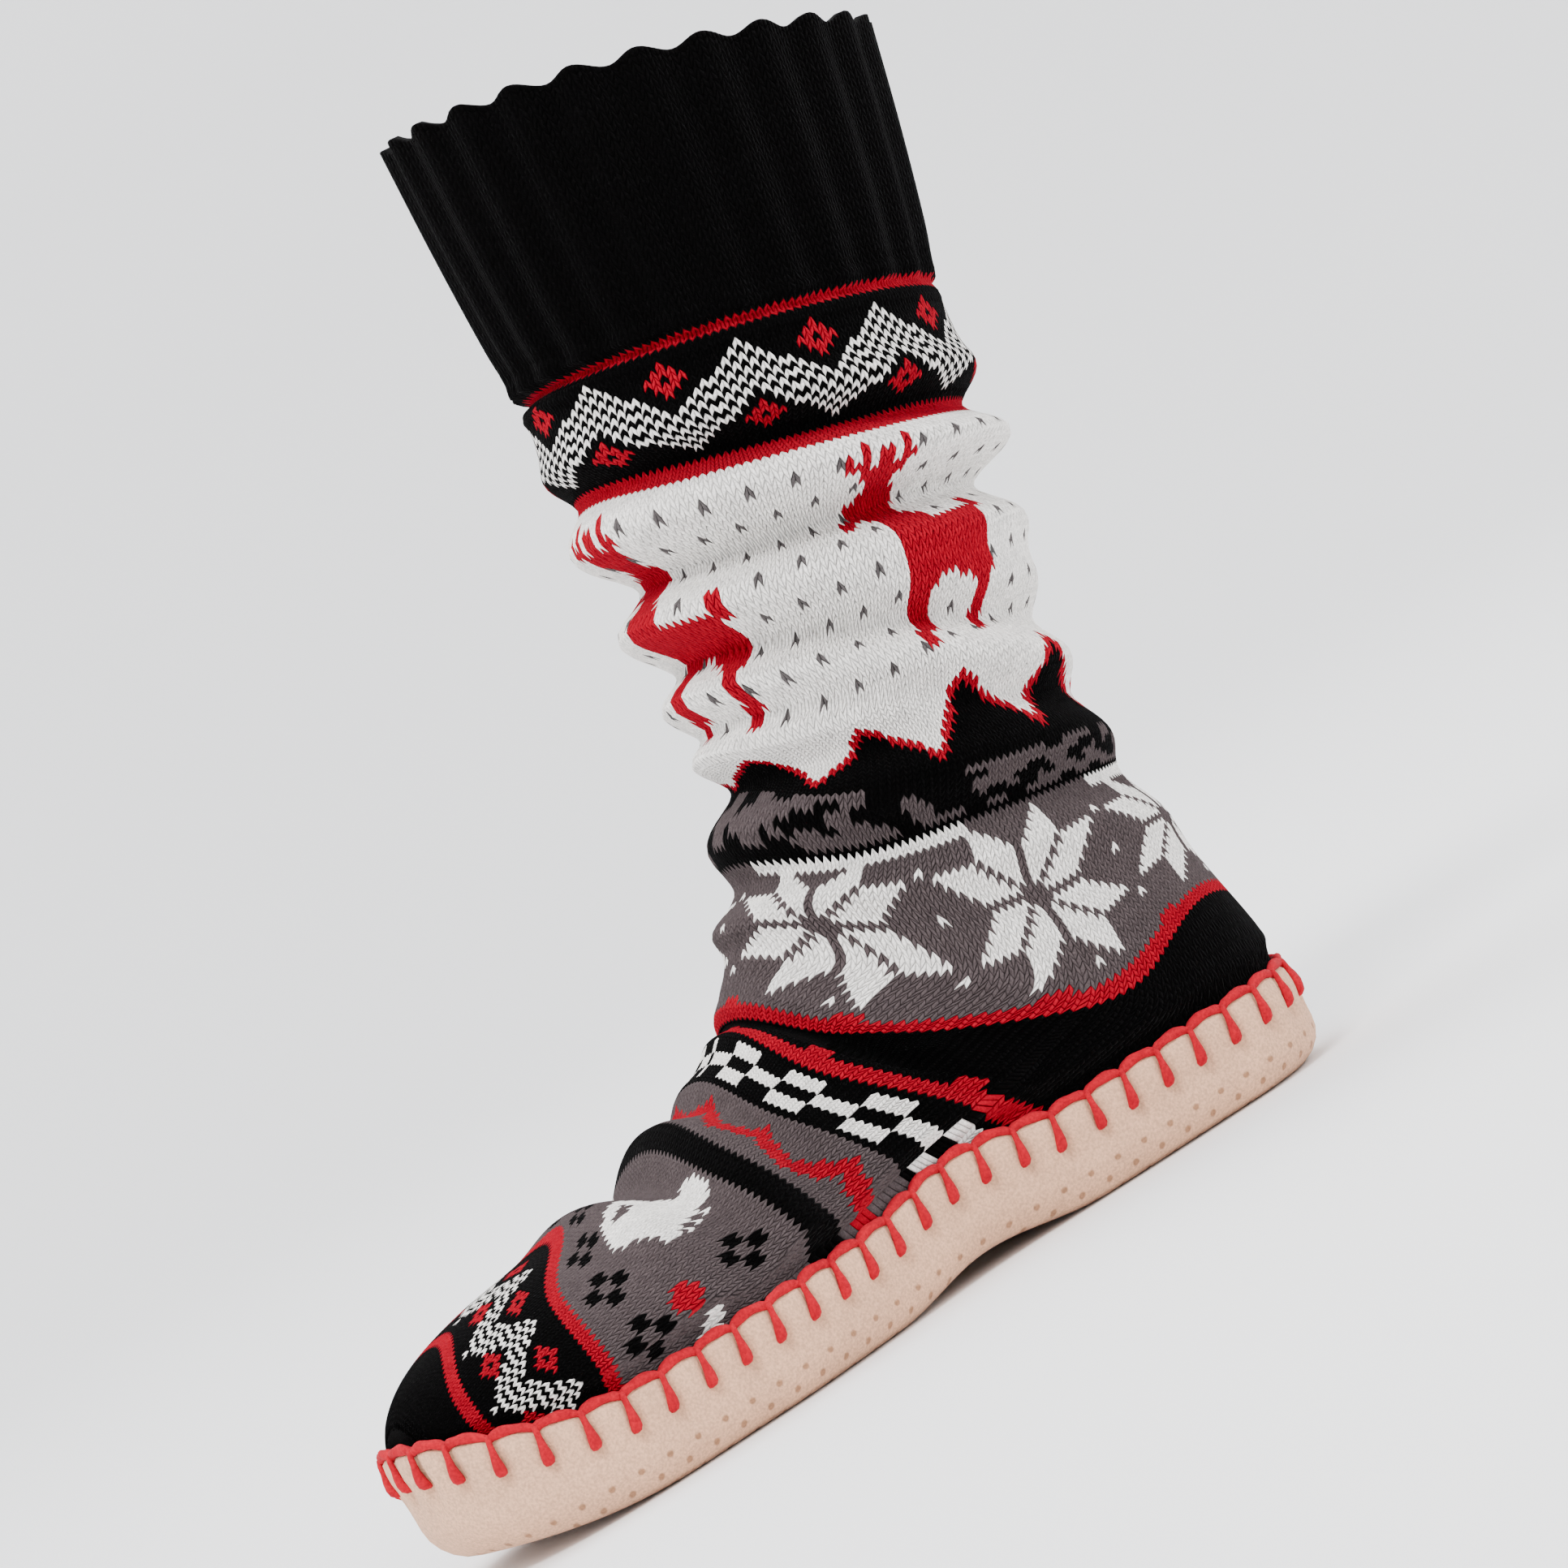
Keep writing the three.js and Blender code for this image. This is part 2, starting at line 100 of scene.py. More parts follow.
# Stitches around the sock, the strand that shows in each of their legs, and the painted shade that darkens
# the grooves between strands.
WALES = 144
COLUMNS = 2 * WALES
FURTHEST_INSIDE = 1.5 * KNIT_WALL
CHEVRON = 0.8
TOE_GATHER_ROWS = 3
RIM_ROWS = 2
STRAND_GAP = 0.00025
STRAND_RISE = 0.0005
SMALLEST_STRAND_AREA = 3e-7
GROOVE_SHADE = 0.18
WHITE_GROOVE_SHADE = 0.42

WELD = 1e-6


# The outline of the sole

SOLE_PLAN = (
    (0, HEEL_WIDTH, 0),
    (0.18, HEEL_WIDTH, -0.01),
    (0.42, WAIST_WIDTH, -0.07),
    (0.70, BALL_WIDTH, -0.03),
    (1, BALL_WIDTH, 0.07),
)


def lerp(a, b, share):
    return a + (b - a) * share


def smoothstep(share):
    return share * share * (3 - 2 * share)


def smooth_between(before, start, stop, after, share):
    """Values on the smooth curve through four rows of a table, between the middle two."""
    leave, arrive = (stop - before) / 2, (after - start) / 2
    return (start + leave * share + (3 * (stop - start) - 2 * leave - arrive) * share ** 2
            + (2 * (start - stop) + leave + arrive) * share ** 3)


def walked_along(line):
    """The distance walked along a line at each of its points."""
    return np.concatenate([[0], np.cumsum(np.linalg.norm(np.diff(line, axis=0), axis=1))])


def eased(column, at):
    """A column of the sole's plan at a share of its length, eased between the rows."""
    result = np.full_like(at, SOLE_PLAN[0][column])
    for low, high in zip(SOLE_PLAN, SOLE_PLAN[1:]):
        share = smoothstep(np.clip((at - low[0]) / (high[0] - low[0]), 0, 1))
        result = np.where(at > low[0], lerp(low[column], high[column], share), result)
    return result


def sole_half(share):
    heel_end = HEEL_WIDTH / 2 / SOLE_LENGTH
    heel = np.sqrt(np.clip(1 - (1 - np.minimum(share / heel_end, 1)) ** 2, 0, 1))
    toe = np.clip((share - TOE_ROUND_START) / (1 - TOE_ROUND_START), 0, 1)
    front = (1 - toe ** TOE_ROUND_POWER) ** (1 / TOE_ROUND_POWER)
    return eased(1, share) / 2 * heel * front


def sole_middle(share):
    return eased(2, share) * BALL_WIDTH


def share_of(y):
    return (HEEL_CENTRE - y) / SOLE_LENGTH


def sole_lift(y):
    """Height of the underside above the floor: flat, raised at the arch and at the toe."""
    share = share_of(y)
    toe = TOE_SPRING * (np.maximum(share - SPRING_START, 0) / (1 - SPRING_START)) ** 2
    arch = np.clip((share - WAIST_START) / (WAIST_END - WAIST_START), 0, 1)
    return toe + ARCH_RISE * np.sin(math.pi * arch) ** 2


def edge_height(y):
    toe = np.maximum(0, (share_of(y) - SPRING_START) / (1 - SPRING_START))
    return SUEDE_EDGE + TOE_EDGE_EXTRA * toe ** 2


def sole_loop(count):
    """Points of the sole's edge at equal distances from the heel over the inner side, with inward normals."""
    share = (1 - np.cos(np.linspace(0, math.pi, OUTLINE_SAMPLES))) / 2
    half = count // 2
    sides = []
    for side in (1, -1):
        across = sole_middle(share) + side * sole_half(share)
        outline = np.stack([across, HEEL_CENTRE - share * SOLE_LENGTH], 1)
        walked = walked_along(outline)
        steps = np.linspace(0, walked[-1], half + 1)
        sides.append(np.stack([np.interp(steps, walked, outline[:, axis]) for axis in (0, 1)], 1))
    points = np.concatenate([sides[0], sides[1][1:-1][::-1]])
    along = np.roll(points, -1, 0) - np.roll(points, 1, 0)
    along /= np.linalg.norm(along, axis=1)[:, None]
    return points, np.stack([along[:, 1], -along[:, 0]], 1)


# The form of the sock

# Rings of the foot: top and low point along the sole and up the instep, squareness above and below.
FOOT_RINGS = (
    (0.992, 0.38, 0.992, 0.04, 2.0, 3.0),
    (0.970, 0.46, 0.972, -0.06, 2.1, 4.0),
    (0.925, 0.52, 0.925, -0.10, 2.2, 6.0),
    (0.855, 0.56, 0.850, -0.10, 2.2, 8.0),
    (0.765, 0.585, 0.740, -0.10, 2.2, 8.0),
    (0.650, 0.63, 0.610, -0.10, 2.2, 8.0),
    (0.560, 0.71, 0.470, -0.10, 2.2, 7.0),
    (0.500, 0.80, 0.315, -0.10, 2.2, 5.0),
    (0.478, 0.88, 0.155, -0.09, 2.2, 3.6),
    (0.470, 0.92, 0.018, -0.02, 2.1, 2.9),
    (0.463, 0.95, 0.004, 0.26, 2.1, 2.7),
    (0.455, 1.00, 0.022, 0.56, 2.1, 2.5),
)
# Rings of the leg and the cuff: how far up, tilt to the back, depth, width and shift towards the toe.
LEG_RINGS = (
    (0.07, 0.29, 0.760, 0.78, 0.020),
    (0.26, 0.25, 0.735, 0.82, 0.024),
    (0.48, 0.22, 0.766, 0.87, 0.022),
    (0.69, 0.21, 0.828, 0.93, 0.020),
    (0.87, 0.20, 0.860, 0.95, 0.017),
)
CUFF_RINGS = (
    (0.00, 0.20, 0.852, 0.93, 0.013),
    (0.22, 0.21, 0.898, 0.95, 0.010),
    (0.60, 0.23, 0.953, 0.98, 0.005),
    (1.00, 0.25, 1.000, 1.00, 0.000),
)
CUFF_RING = len(FOOT_RINGS) + len(LEG_RINGS)
LAST_RING = CUFF_RING + len(CUFF_RINGS) - 1

# Slouch folds: ring at the front and at the back, depth, width in rings, and the turn where it is deepest.
FOLDS = (
    (4.85, 4.40, 0.0050, 0.30, 0.00),
    (5.75, 5.50, 0.0025, 0.22, 0.05),
    (7.10, 7.60, 0.0020, 0.20, 0.06),
    (11.35, 11.75, 0.0055, 0.21, 0.14),
    (12.15, 12.60, 0.0045, 0.26, 0.02),
    (12.85, 12.50, 0.0040, 0.22, 0.05),
    (13.55, 13.30, 0.0070, 0.22, 0.16),
    (14.35, 14.55, 0.0080, 0.24, 0.34),
    (14.45, 14.70, 0.0055, 0.26, 0.02),
    (15.42, 15.30, 0.0075, 0.24, 0.24),
    (16.95, 16.95, 0.0035, 0.13, 0.04),
)
RIDGE_SHARE = 0.5
RIDGE_PLACE = 1.5
FOLD_REACH = 0.22


def foot_ring(top_along, top_up, low_along, low_up, crown, seat):
    share = np.array([(top_along + low_along) / 2])
    half = sole_half(share)[0] + KNIT_OVERHANG
    return (HEEL_CENTRE - top_along * SOLE_LENGTH, top_up * INSTEP_HEIGHT,
            HEEL_CENTRE - low_along * SOLE_LENGTH, low_up * INSTEP_HEIGHT,
            half, sole_middle(share)[0], crown, seat)


def leg_ring(rise, tilt, depth, width, forward):
    along = ANKLE_CENTRE - math.tan(LEG_LEAN) * rise + forward * SOLE_LENGTH
    reach, slope = depth * LEG_DEPTH / 2, tilt * LEG_DEPTH / 2
    return (HEEL_CENTRE - along - reach, INSTEP_HEIGHT + rise + slope,
            HEEL_CENTRE - along + reach, INSTEP_HEIGHT + rise - slope,
            width * LEG_WIDTH / 2, 0, 2, 2)


rings = [foot_ring(*ring) for ring in FOOT_RINGS]
rings += [leg_ring(up * SHAFT_LENGTH, *shape) for up, *shape in LEG_RINGS]
rings += [leg_ring(SHAFT_LENGTH + up * CUFF_HEIGHT, *shape) for up, *shape in CUFF_RINGS]
sock_rings = np.array(rings)


def between_rings(ring):
    """The sock's ring values at any place between the rings, on a smooth curve through them."""
    ends = 2 * sock_rings[[0, -1]] - sock_rings[[1, -2]]
    table = np.concatenate([ends[:1], sock_rings, ends[1:]])
    low = np.clip(np.floor(ring).astype(int), 0, LAST_RING - 1)
    share = (ring - low)[:, None]
    return smooth_between(*(table[low + step] for step in range(4)), share)


def fold_rise(ring, turn):
    rise = np.zeros_like(ring)
    for front, back, depth, width, deepest in FOLDS:
        crease = lerp(front, back, (1 - np.cos(2 * math.pi * turn)) / 2)
        distance = (ring - crease) / width
        nearness = (1 + np.cos(2 * math.pi * (turn - deepest))) / 2
        ridges = np.exp(-(distance - RIDGE_PLACE) ** 2) + np.exp(-(distance + RIDGE_PLACE) ** 2)
        rise += depth * lerp(FOLD_REACH, 1, nearness) * (RIDGE_SHARE * ridges - np.exp(-distance ** 2))
    return rise


def signed_power(value, power):
    return np.sign(value) * np.abs(value) ** power


def sock_points(ring, turn, shrink):
    """Points of the sock's outside; shrink draws the first rows together at the toe."""
    values = between_rings(ring)
    top, low = values[:, 0:2], values[:, 2:4]
    half, bend, crown, seat = values[:, 4:8].T
    middle = (top + low) / 2
    length = np.linalg.norm(top - low, axis=1)
    forward = np.cos(2 * math.pi * turn)
    power = 2 / np.where(forward > 0, crown, seat)
    up = length / 2 * signed_power(forward, power)
    across = half * signed_power(np.sin(2 * math.pi * turn), power)
    rib = (np.cos(2 * math.pi * RIBS * turn) - 1) / 2
    cuff = smoothstep(np.clip((ring - CUFF_RING + CUFF_STEP_REACH) / (2 * CUFF_STEP_REACH), 0, 1))
    rise = fold_rise(ring, turn) + cuff * (CUFF_STEP + RIB_DEPTH * rib)
    scale = (1 + rise / np.hypot(up, across)) * shrink
    direction = (top - low) / length[:, None]
    points = np.stack([across * scale + bend,
                       middle[:, 0] + direction[:, 0] * up * scale,
                       middle[:, 1] + direction[:, 1] * up * scale], 1)
    points[:, 2] += RIM_SCALLOP * rib * np.clip((ring - LAST_RING + RIM_REACH) / RIM_REACH, 0, 1)
    return points


def inside_the_suede(points):
    """Draw the foot of the sock in behind the suede edge, and let it bulge again above the yarn."""
    edge, inward = sole_loop(EDGE_STEPS)
    nearest = np.argmin(((points[:, None, :2] - edge[None]) ** 2).sum(2), axis=1)
    depth = ((points[:, :2] - edge[nearest]) * inward[nearest]).sum(1)
    above = points[:, 2] - sole_lift(points[:, 1]) - edge_height(points[:, 1]) - NECK_TOP
    missing = KNIT_INSET - np.maximum(above, 0) - depth
    moved = points.copy()
    moved[:, :2] += inward[nearest] * np.maximum(missing, 0)[:, None]
    return moved


# The knitted bands, toe to rim: rows, and the ring where a band ends, at five turns from front to back.
BANDS = (
    ("toe", 18, 2.20, 1.45, 1.40, 1.40, 1.40),
    ("toe_stripe", 3, 2.45, 1.70, 1.62, 1.60, 1.60),
    ("toe_zigzag", 22, 4.00, 3.20, 3.05, 3.00, 3.00),
    ("instep_stripe", 3, 4.20, 3.35, 3.20, 3.15, 3.15),
    ("flowers", 27, 5.15, 5.05, 5.15, 5.10, 5.10),
    ("dark_stripe", 4, 5.42, 5.27, 5.50, 5.50, 5.50),
    ("waves", 11, 6.08, 5.93, 6.30, 6.30, 6.30),
    ("blocks", 16, 6.88, 6.60, 7.15, 7.20, 7.20),
    ("block_stripe", 5, 7.08, 6.95, 7.55, 7.90, 8.00),
    ("heel", 20, 7.20, 7.30, 8.70, 10.40, 10.55),
    ("ankle_stripe", 3, 7.42, 7.46, 9.00, 10.52, 10.67),
    ("stars", 24, 11.50, 11.36, 11.50, 11.70, 11.85),
    ("leaves", 8, 12.05, 11.80, 11.85, 12.05, 12.20),
    ("peaks", 16, 12.45, 12.40, 12.90, 13.20, 13.30),
    ("reindeer", 34, 15.30, 15.15, 15.10, 15.15, 15.20),
    ("upper_stripe", 4, 15.48, 15.33, 15.28, 15.33, 15.38),
    ("leg_zigzag", 19, 16.85, 16.80, 16.80, 16.80, 16.80),
    ("cuff_stripe", 2, 17.00, 17.00, 17.00, 17.00, 17.00),
    ("cuff", 30, 20.00, 20.00, 20.00, 20.00, 20.00),
)
BAND_TURNS = 5
ROWS = sum(rows for _, rows, *_ in BANDS)

BLACK, RED, WHITE, GREY, FLECK = range(5)
YARN_COLOURS = (
    (0.0005, 0.0004, 0.0004),
    (0.3300, 0.0006, 0.0130),
    (0.9000, 0.8650, 0.8250),
    (0.0760, 0.0590, 0.0600),
    (0.0900, 0.0800, 0.0800),
)
YARN_OF_MARK = {".": None, "k": BLACK, "r": RED, "w": WHITE}

# Half of an eight-petalled star, its middle column last; the other half mirrors it.
STAR = (
    ".....w.....",
    ".....ww....",
    ".....www...",
    ".....wwww..",
    ".....wwwww.",
    "wwwww.wwww.",
    ".wwwww.www.",
    "..wwwww.ww.",
    "...wwwww.w.",
    "....wwwww..",
    "...........",
    "....wwwww..",
    "...wwwww.w.",
    "..wwwww.ww.",
    ".wwwww.www.",
    "wwwww.wwww.",
    ".....wwwww.",
    ".....wwww..",
    ".....www...",
    ".....ww....",
    ".....w.....",
)
FLOWER = (
    "..kk..",
    "..kk..",
    "kk..kk",
    "kk..kk",
    "..kk..",
    "..kk..",
)
TREE = (
    "......wwww......",
    ".....wwwwww.....",
    ".....wwwwww.....",
    "......wwwww.w...",
    "......wwwwww....",
    ".....wwwwwww.w..",
    "....wwwwwwwww...",
    "....wwwwwwwww.w.",
    "...wwwwwwwwwww..",
    "..wwwwwwwwwwwww.",
    ".wwwwwwwwwwwwww.",
    ".www.wwwwwwwwww.",
    "www...wwwwwww...",
    "wwww..wwwwww....",
    ".wwww.wwwww.....",
    "..wwwwwwwww.....",
    "....wwwwww......",
)
REINDEER = (
    "...r...r........",
    ".r.r.r.r........",
    ".rrr.r.rr.......",
    "...rrrrr........",
    "....rrr.........",
    "....rrr.........",
    "...rrrrr........",
    ".rrrrrrr........",
    "rrrrrrr.........",
    "r..rrrr.........",
    "....rrrr........",
    "....rrrrr......r",
    "....rrrrrrrrrrrr",
    "....rrrrrrrrrrr.",
    "....rrrrrrrrrrr.",
    "....rrrrrrrrrrr.",
    "....rrrrrrrrrrr.",
    "....rrr...rrrrr.",
    "....rr.....rrrr.",
    "....rr......rr..",
    "....rr......rr..",
    "....rr......rr..",
    "...rrr.....rrr..",
    "...rr......rr...",
)
DIAMOND = (
    "..r..",
    ".rrr.",
    "rr.rr",
    ".rrr.",
    "..r..",
)
BERRY = (
    ".rr.",
    "rrrr",
    "rrrr",
    ".rr.",
)
SNOW = (
    "ww..",
    "www.",
    ".www",
    "..ww",
)

# Places and repeats of the patterns, in rows above a band's lower edge and in stitches around.
MARGIN = 2
RIBBON_ROWS = 7
INSTEP_MOTIFS = ((TREE, 9, 8), (BERRY, 9, 28), (SNOW, 10, 33))
LOW_FLOWER_START, LOW_FLOWER_REPEAT = 1, 9
HIGH_FLOWER_ROW, HIGH_FLOWER_START, HIGH_FLOWER_REPEAT = 18, 26, 12
BLOCK_ROWS, BLOCK_STITCHES, BLOCK_LEVELS = 4, 5, 3
BUMP_REPEAT, BUMP_STITCHES, BLOCK_STRIPE_ROWS = 16, 3, 3
STAR_START, STAR_REPEAT = 2, 24
SNOWFLAKES = ((5, 0), (18, 0), (12, 0), (2, 14))
CREST_ROW, CREST_START, CREST_END = 22, 4, 32
PEAK_START, PEAK_OUTLINE_ROWS = -2, 2
FLECK_ROWS, FLECK_REPEAT = 4, 5
DEER_START, DEER_REPEAT, DEER_TALL, DEER_WIDE = 31, 36, 1.25, 1.2
LEAF_SHARE = 0.52
LEAF_STITCHES = 3
LEAF_SEED = 7


def from_chart(chart, row, column):
    """Yarn that a chart has at a row above its lowest and a column, or None outside it."""
    if 0 <= row < len(chart) and 0 <= column < len(chart[0]):
        return YARN_OF_MARK[chart[len(chart) - 1 - row][column]]
    return None


def wave(column, period, rise):
    """Rows that a zigzag line has climbed at a column: rise rows for each stitch up to the middle."""
    place = column % period
    return int(round(min(place, period - place) * rise))


def first_of(*yarns):
    return next(yarn for yarn in yarns if yarn is not None)


def zigzag_yarn(row, column, period, rise):
    """A white ribbon of every second row between two rows of red diamonds."""
    place = row - MARGIN - wave(column, period, rise)
    if 0 <= place < RIBBON_ROWS:
        return WHITE if place % 2 == 0 else BLACK
    top = row - MARGIN - wave(period // 2, period, rise)
    centred = column + len(DIAMOND) // 2
    over_valley = from_chart(DIAMOND, top - MARGIN, centred % period)
    under_peak = from_chart(DIAMOND, top + RIBBON_ROWS, (centred + period // 2) % period)
    return first_of(over_valley, under_peak, BLACK)


def toe_zigzag_yarn(row, column):
    return zigzag_yarn(row, column, period=12, rise=1.5)


def leg_zigzag_yarn(row, column):
    return zigzag_yarn(row, column, period=18, rise=0.9)


def flowers_yarn(row, column):
    """A tree, a berry and snow on each side of the instep's middle line, between two rows of flowers."""
    near = min(column, WALES - column)
    motifs = [from_chart(chart, row - lowest, near - start) for chart, lowest, start in INSTEP_MOTIFS]
    low = from_chart(FLOWER, row - MARGIN, (near - LOW_FLOWER_START) % LOW_FLOWER_REPEAT)
    high = None
    if near >= HIGH_FLOWER_START:
        high = from_chart(FLOWER, row - HIGH_FLOWER_ROW, (near - HIGH_FLOWER_START) % HIGH_FLOWER_REPEAT)
    return first_of(*motifs, low, high, GREY)


def waves_yarn(row, column):
    return RED if 0 <= row - MARGIN - wave(column, period=12, rise=0.6) <= 2 else GREY


def blocks_yarn(row, column):
    level = (row - MARGIN) // BLOCK_ROWS
    block = (column + BLOCK_STITCHES - 1) // BLOCK_STITCHES
    return WHITE if 0 <= level < BLOCK_LEVELS and (block + level) % 2 == 0 else BLACK


def on_bump(column):
    return column % BUMP_REPEAT < BUMP_STITCHES


def block_stripe_yarn(row, column):
    return RED if row < BLOCK_STRIPE_ROWS or on_bump(column) else BLACK


def stars_yarn(row, column):
    half = len(STAR[0])
    place = (column - STAR_START) % STAR_REPEAT
    bump = RED if row == 0 and on_bump(column) else None
    star = from_chart(STAR, row - MARGIN, place if place < half else 2 * half - 2 - place)
    snow = WHITE if (row, column % STAR_REPEAT) in SNOWFLAKES else None
    crest = WHITE if row >= CREST_ROW and CREST_START <= column % (2 * STAR_REPEAT) < CREST_END else None
    return first_of(bump, star, snow, crest, GREY)


def peaks_yarn(row, column):
    line = MARGIN + wave(column - PEAK_START, period=16, rise=1.3)
    return BLACK if row < line else RED if row < line + PEAK_OUTLINE_ROWS else WHITE


def reindeer_yarn(row, column):
    """A herd of reindeer under a staggered fall of grey flecks."""
    place = (column - DEER_START) % DEER_REPEAT
    deer = from_chart(REINDEER, math.floor((row - MARGIN) / DEER_TALL), int(place / DEER_WIDE))
    from_seam = (column + WALES // 4) % WALES
    stagger = row // FLECK_ROWS % 2 * FLECK_REPEAT
    fleck = row % FLECK_ROWS == FLECK_ROWS // 2 and (2 * from_seam + stagger) % (2 * FLECK_REPEAT) < 2
    return first_of(deer, FLECK if fleck else None, WHITE)


leaf_cells = np.random.default_rng(LEAF_SEED).random((6, WALES // LEAF_STITCHES)) < LEAF_SHARE


def leaves_yarn(row, column):
    """Leaf-like mottle: patches three stitches wide that lean and join as the rows go up."""
    patch = (column + row // 2 % 3) % WALES // LEAF_STITCHES
    cell = leaf_cells[(row + column // LEAF_STITCHES % 2) // 2, patch]
    return GREY if cell and row > 0 else BLACK


CHARTED_BANDS = {
    "toe_zigzag": toe_zigzag_yarn,
    "flowers": flowers_yarn,
    "waves": waves_yarn,
    "blocks": blocks_yarn,
    "block_stripe": block_stripe_yarn,
    "stars": stars_yarn,
    "leaves": leaves_yarn,
    "peaks": peaks_yarn,
    "reindeer": reindeer_yarn,
    "leg_zigzag": leg_zigzag_yarn,
}
RED_STRIPES = ("toe_stripe", "instep_stripe", "ankle_stripe", "upper_stripe", "cuff_stripe")


def yarn_at(band, row, column):
    """Yarn of one stitch: the row counts from the lower edge of its band."""
    if band in CHARTED_BANDS:
        return CHARTED_BANDS[band](row, column)
    return RED if band in RED_STRIPES else BLACK


band_chart = np.array([[yarn_at(band, row, column) for column in range(WALES)]
                       for band, rows, *_ in BANDS for row in range(rows)])
band_starts = np.cumsum([0] + [rows for _, rows, *_ in BANDS])


def through(table, place):
    """Rows of a table at any places between them, on a smooth curve that comes round to its start."""
    low = np.floor(place).astype(int)
    share = (place - low)[:, None]
    return smooth_between(*(table[(low + step) % len(table)] for step in (-1, 0, 1, 2)), share)


RING_STEP = 0.02


def rings_of_rows(rows):
    """The ring place of each row at each column: a band's rows lie at equal distances up the surface."""
    ends = np.array([[0] * BAND_TURNS] + [band[2:] for band in BANDS]).T
    turns = np.arange(COLUMNS) / COLUMNS
    band_ends = through(np.concatenate([ends, ends[-2:0:-1]]), turns * 2 * (BAND_TURNS - 1))
    fine = np.arange(0, LAST_RING + RING_STEP / 2, RING_STEP)
    result = np.zeros(rows.shape)
    for index, turn in enumerate(turns):
        line = sock_points(fine, np.full_like(fine, turn), 1)
        walked = walked_along(line)
        marks = np.interp(band_ends[index], fine, walked)
        result[:, index] = np.interp(np.interp(rows[:, index], band_starts, marks), walked, fine)
    return result


QUARTER = WALES // 4
PLACE_STEP = 0.1
TURN_SAMPLES = 401


def even_turns():
    """At each place up the rings, the turns that part each quarter of the ring into equal lengths."""
    fine = np.linspace(0, 1, TURN_SAMPLES)
    table = []
    for place in np.arange(0, LAST_RING + PLACE_STEP, PLACE_STEP):
        line = sock_points(np.full_like(fine, place), fine, 1)
        walked = walked_along(line)
        corners = np.interp(np.arange(5) / 4, fine, walked)
        steps = np.interp(np.arange(WALES + 1) / QUARTER, np.arange(5), corners)
        table.append(np.interp(steps, walked, fine))
    return np.array(table)


even_table = even_turns()


def evened(ring, turn):
    """The turn at which a wale lies, so that the stitches of a quarter are equally wide."""
    up, around = ring / PLACE_STEP, turn * WALES
    low = np.clip(np.floor(up).astype(int), 0, len(even_table) - 2)
    before = np.clip(np.floor(around).astype(int), 0, WALES - 1)
    sides = [lerp(even_table[low, at], even_table[low + 1, at], up - low) for at in (before, before + 1)]
    return lerp(*sides, around - before)


# Making the meshes


def grid(work, steps, levels):
    """A grid of faces, with the step and the level of each of its points."""
    verts = bmesh.ops.create_grid(work, x_segments=steps, y_segments=levels, size=0.5)["verts"]
    flat = np.array([vert.co[:2] for vert in verts]) + 0.5
    step, level = np.rint(flat * (steps, levels)).astype(int).T
    return verts, step, level


def weld(work):
    bmesh.ops.remove_doubles(work, verts=work.verts, dist=WELD)


def new_object(name, work, material):
    """A smooth-shaded object of a finished mesh."""
    for face in work.faces:
        face.smooth = True
    data = bpy.data.meshes.new(name)
    work.to_mesh(data)
    work.free()
    data.materials.append(material)
    made = bpy.data.objects.new(name, data)
    bpy.context.scene.collection.objects.link(made)
    return made


def new_piece(name, work, material, node):
    piece = new_object(name, work, material)
    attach(piece, "root")
    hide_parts(node)
    return piece


# The knit


def stitch_points(first, last, row, column):
    """Places of a piece's points on the sock, with every second column pushed up to make chevrons."""
    rows, columns = np.meshgrid(np.arange(first, last + 1), np.arange(COLUMNS), indexing="ij")
    free = np.clip(np.minimum(rows / TOE_GATHER_ROWS, (ROWS - rows) / RIM_ROWS), 0, 1)
    ring = rings_of_rows(rows + CHEVRON * (columns % 2) * free)[row - first, column % COLUMNS]
    turn = evened(ring, column / COLUMNS)
    return inside_the_suede(sock_points(ring, turn, np.clip(row / TOE_GATHER_ROWS, 0, 1)))


def keep_wall_even(work, outer_verts):
    """Bring back points of the sock's inside that lie much further from its outside than they should."""
    tree = KDTree(len(outer_verts))
    for index, vert in enumerate(outer_verts):
        tree.insert(vert.co, index)
    tree.balance()
    outer = set(outer_verts)
    for vert in work.verts:
        if vert in outer:
            continue
        place, index, distance = tree.find(vert.co)
        if distance > FURTHEST_INSIDE:
            vert.co = place - outer_verts[index].normal * KNIT_WALL


def shows_as_strand(face):
    """Whether a face is large enough to be raised as a strand and stands clear of the suede's edge."""
    middle = face.calc_center_median()
    y = np.float64(middle.y)
    suede_top = sole_lift(y) + edge_height(y) - 2 * CLEARANCE
    return face.calc_area() > SMALLEST_STRAND_AREA and middle.z >= suede_top


def raise_strands(work, outside, outer_verts, groove):
    """Raise each leg of a stitch as a strand of yarn, and mark the grooves that are left between them, where
    shade is painted.
    """
    strands = [face for face in outside if shows_as_strand(face)]
    for vert in outer_verts:
        vert[groove] = 1
    bmesh.ops.inset_individual(work, faces=strands, thickness=STRAND_GAP, depth=STRAND_RISE)
    for face in strands:
        for vert in face.verts:
            vert[groove] = 0


def stored(items, name, kind):
    values = np.zeros(len(items), dtype=kind)
    items.foreach_get(name, values)
    return values


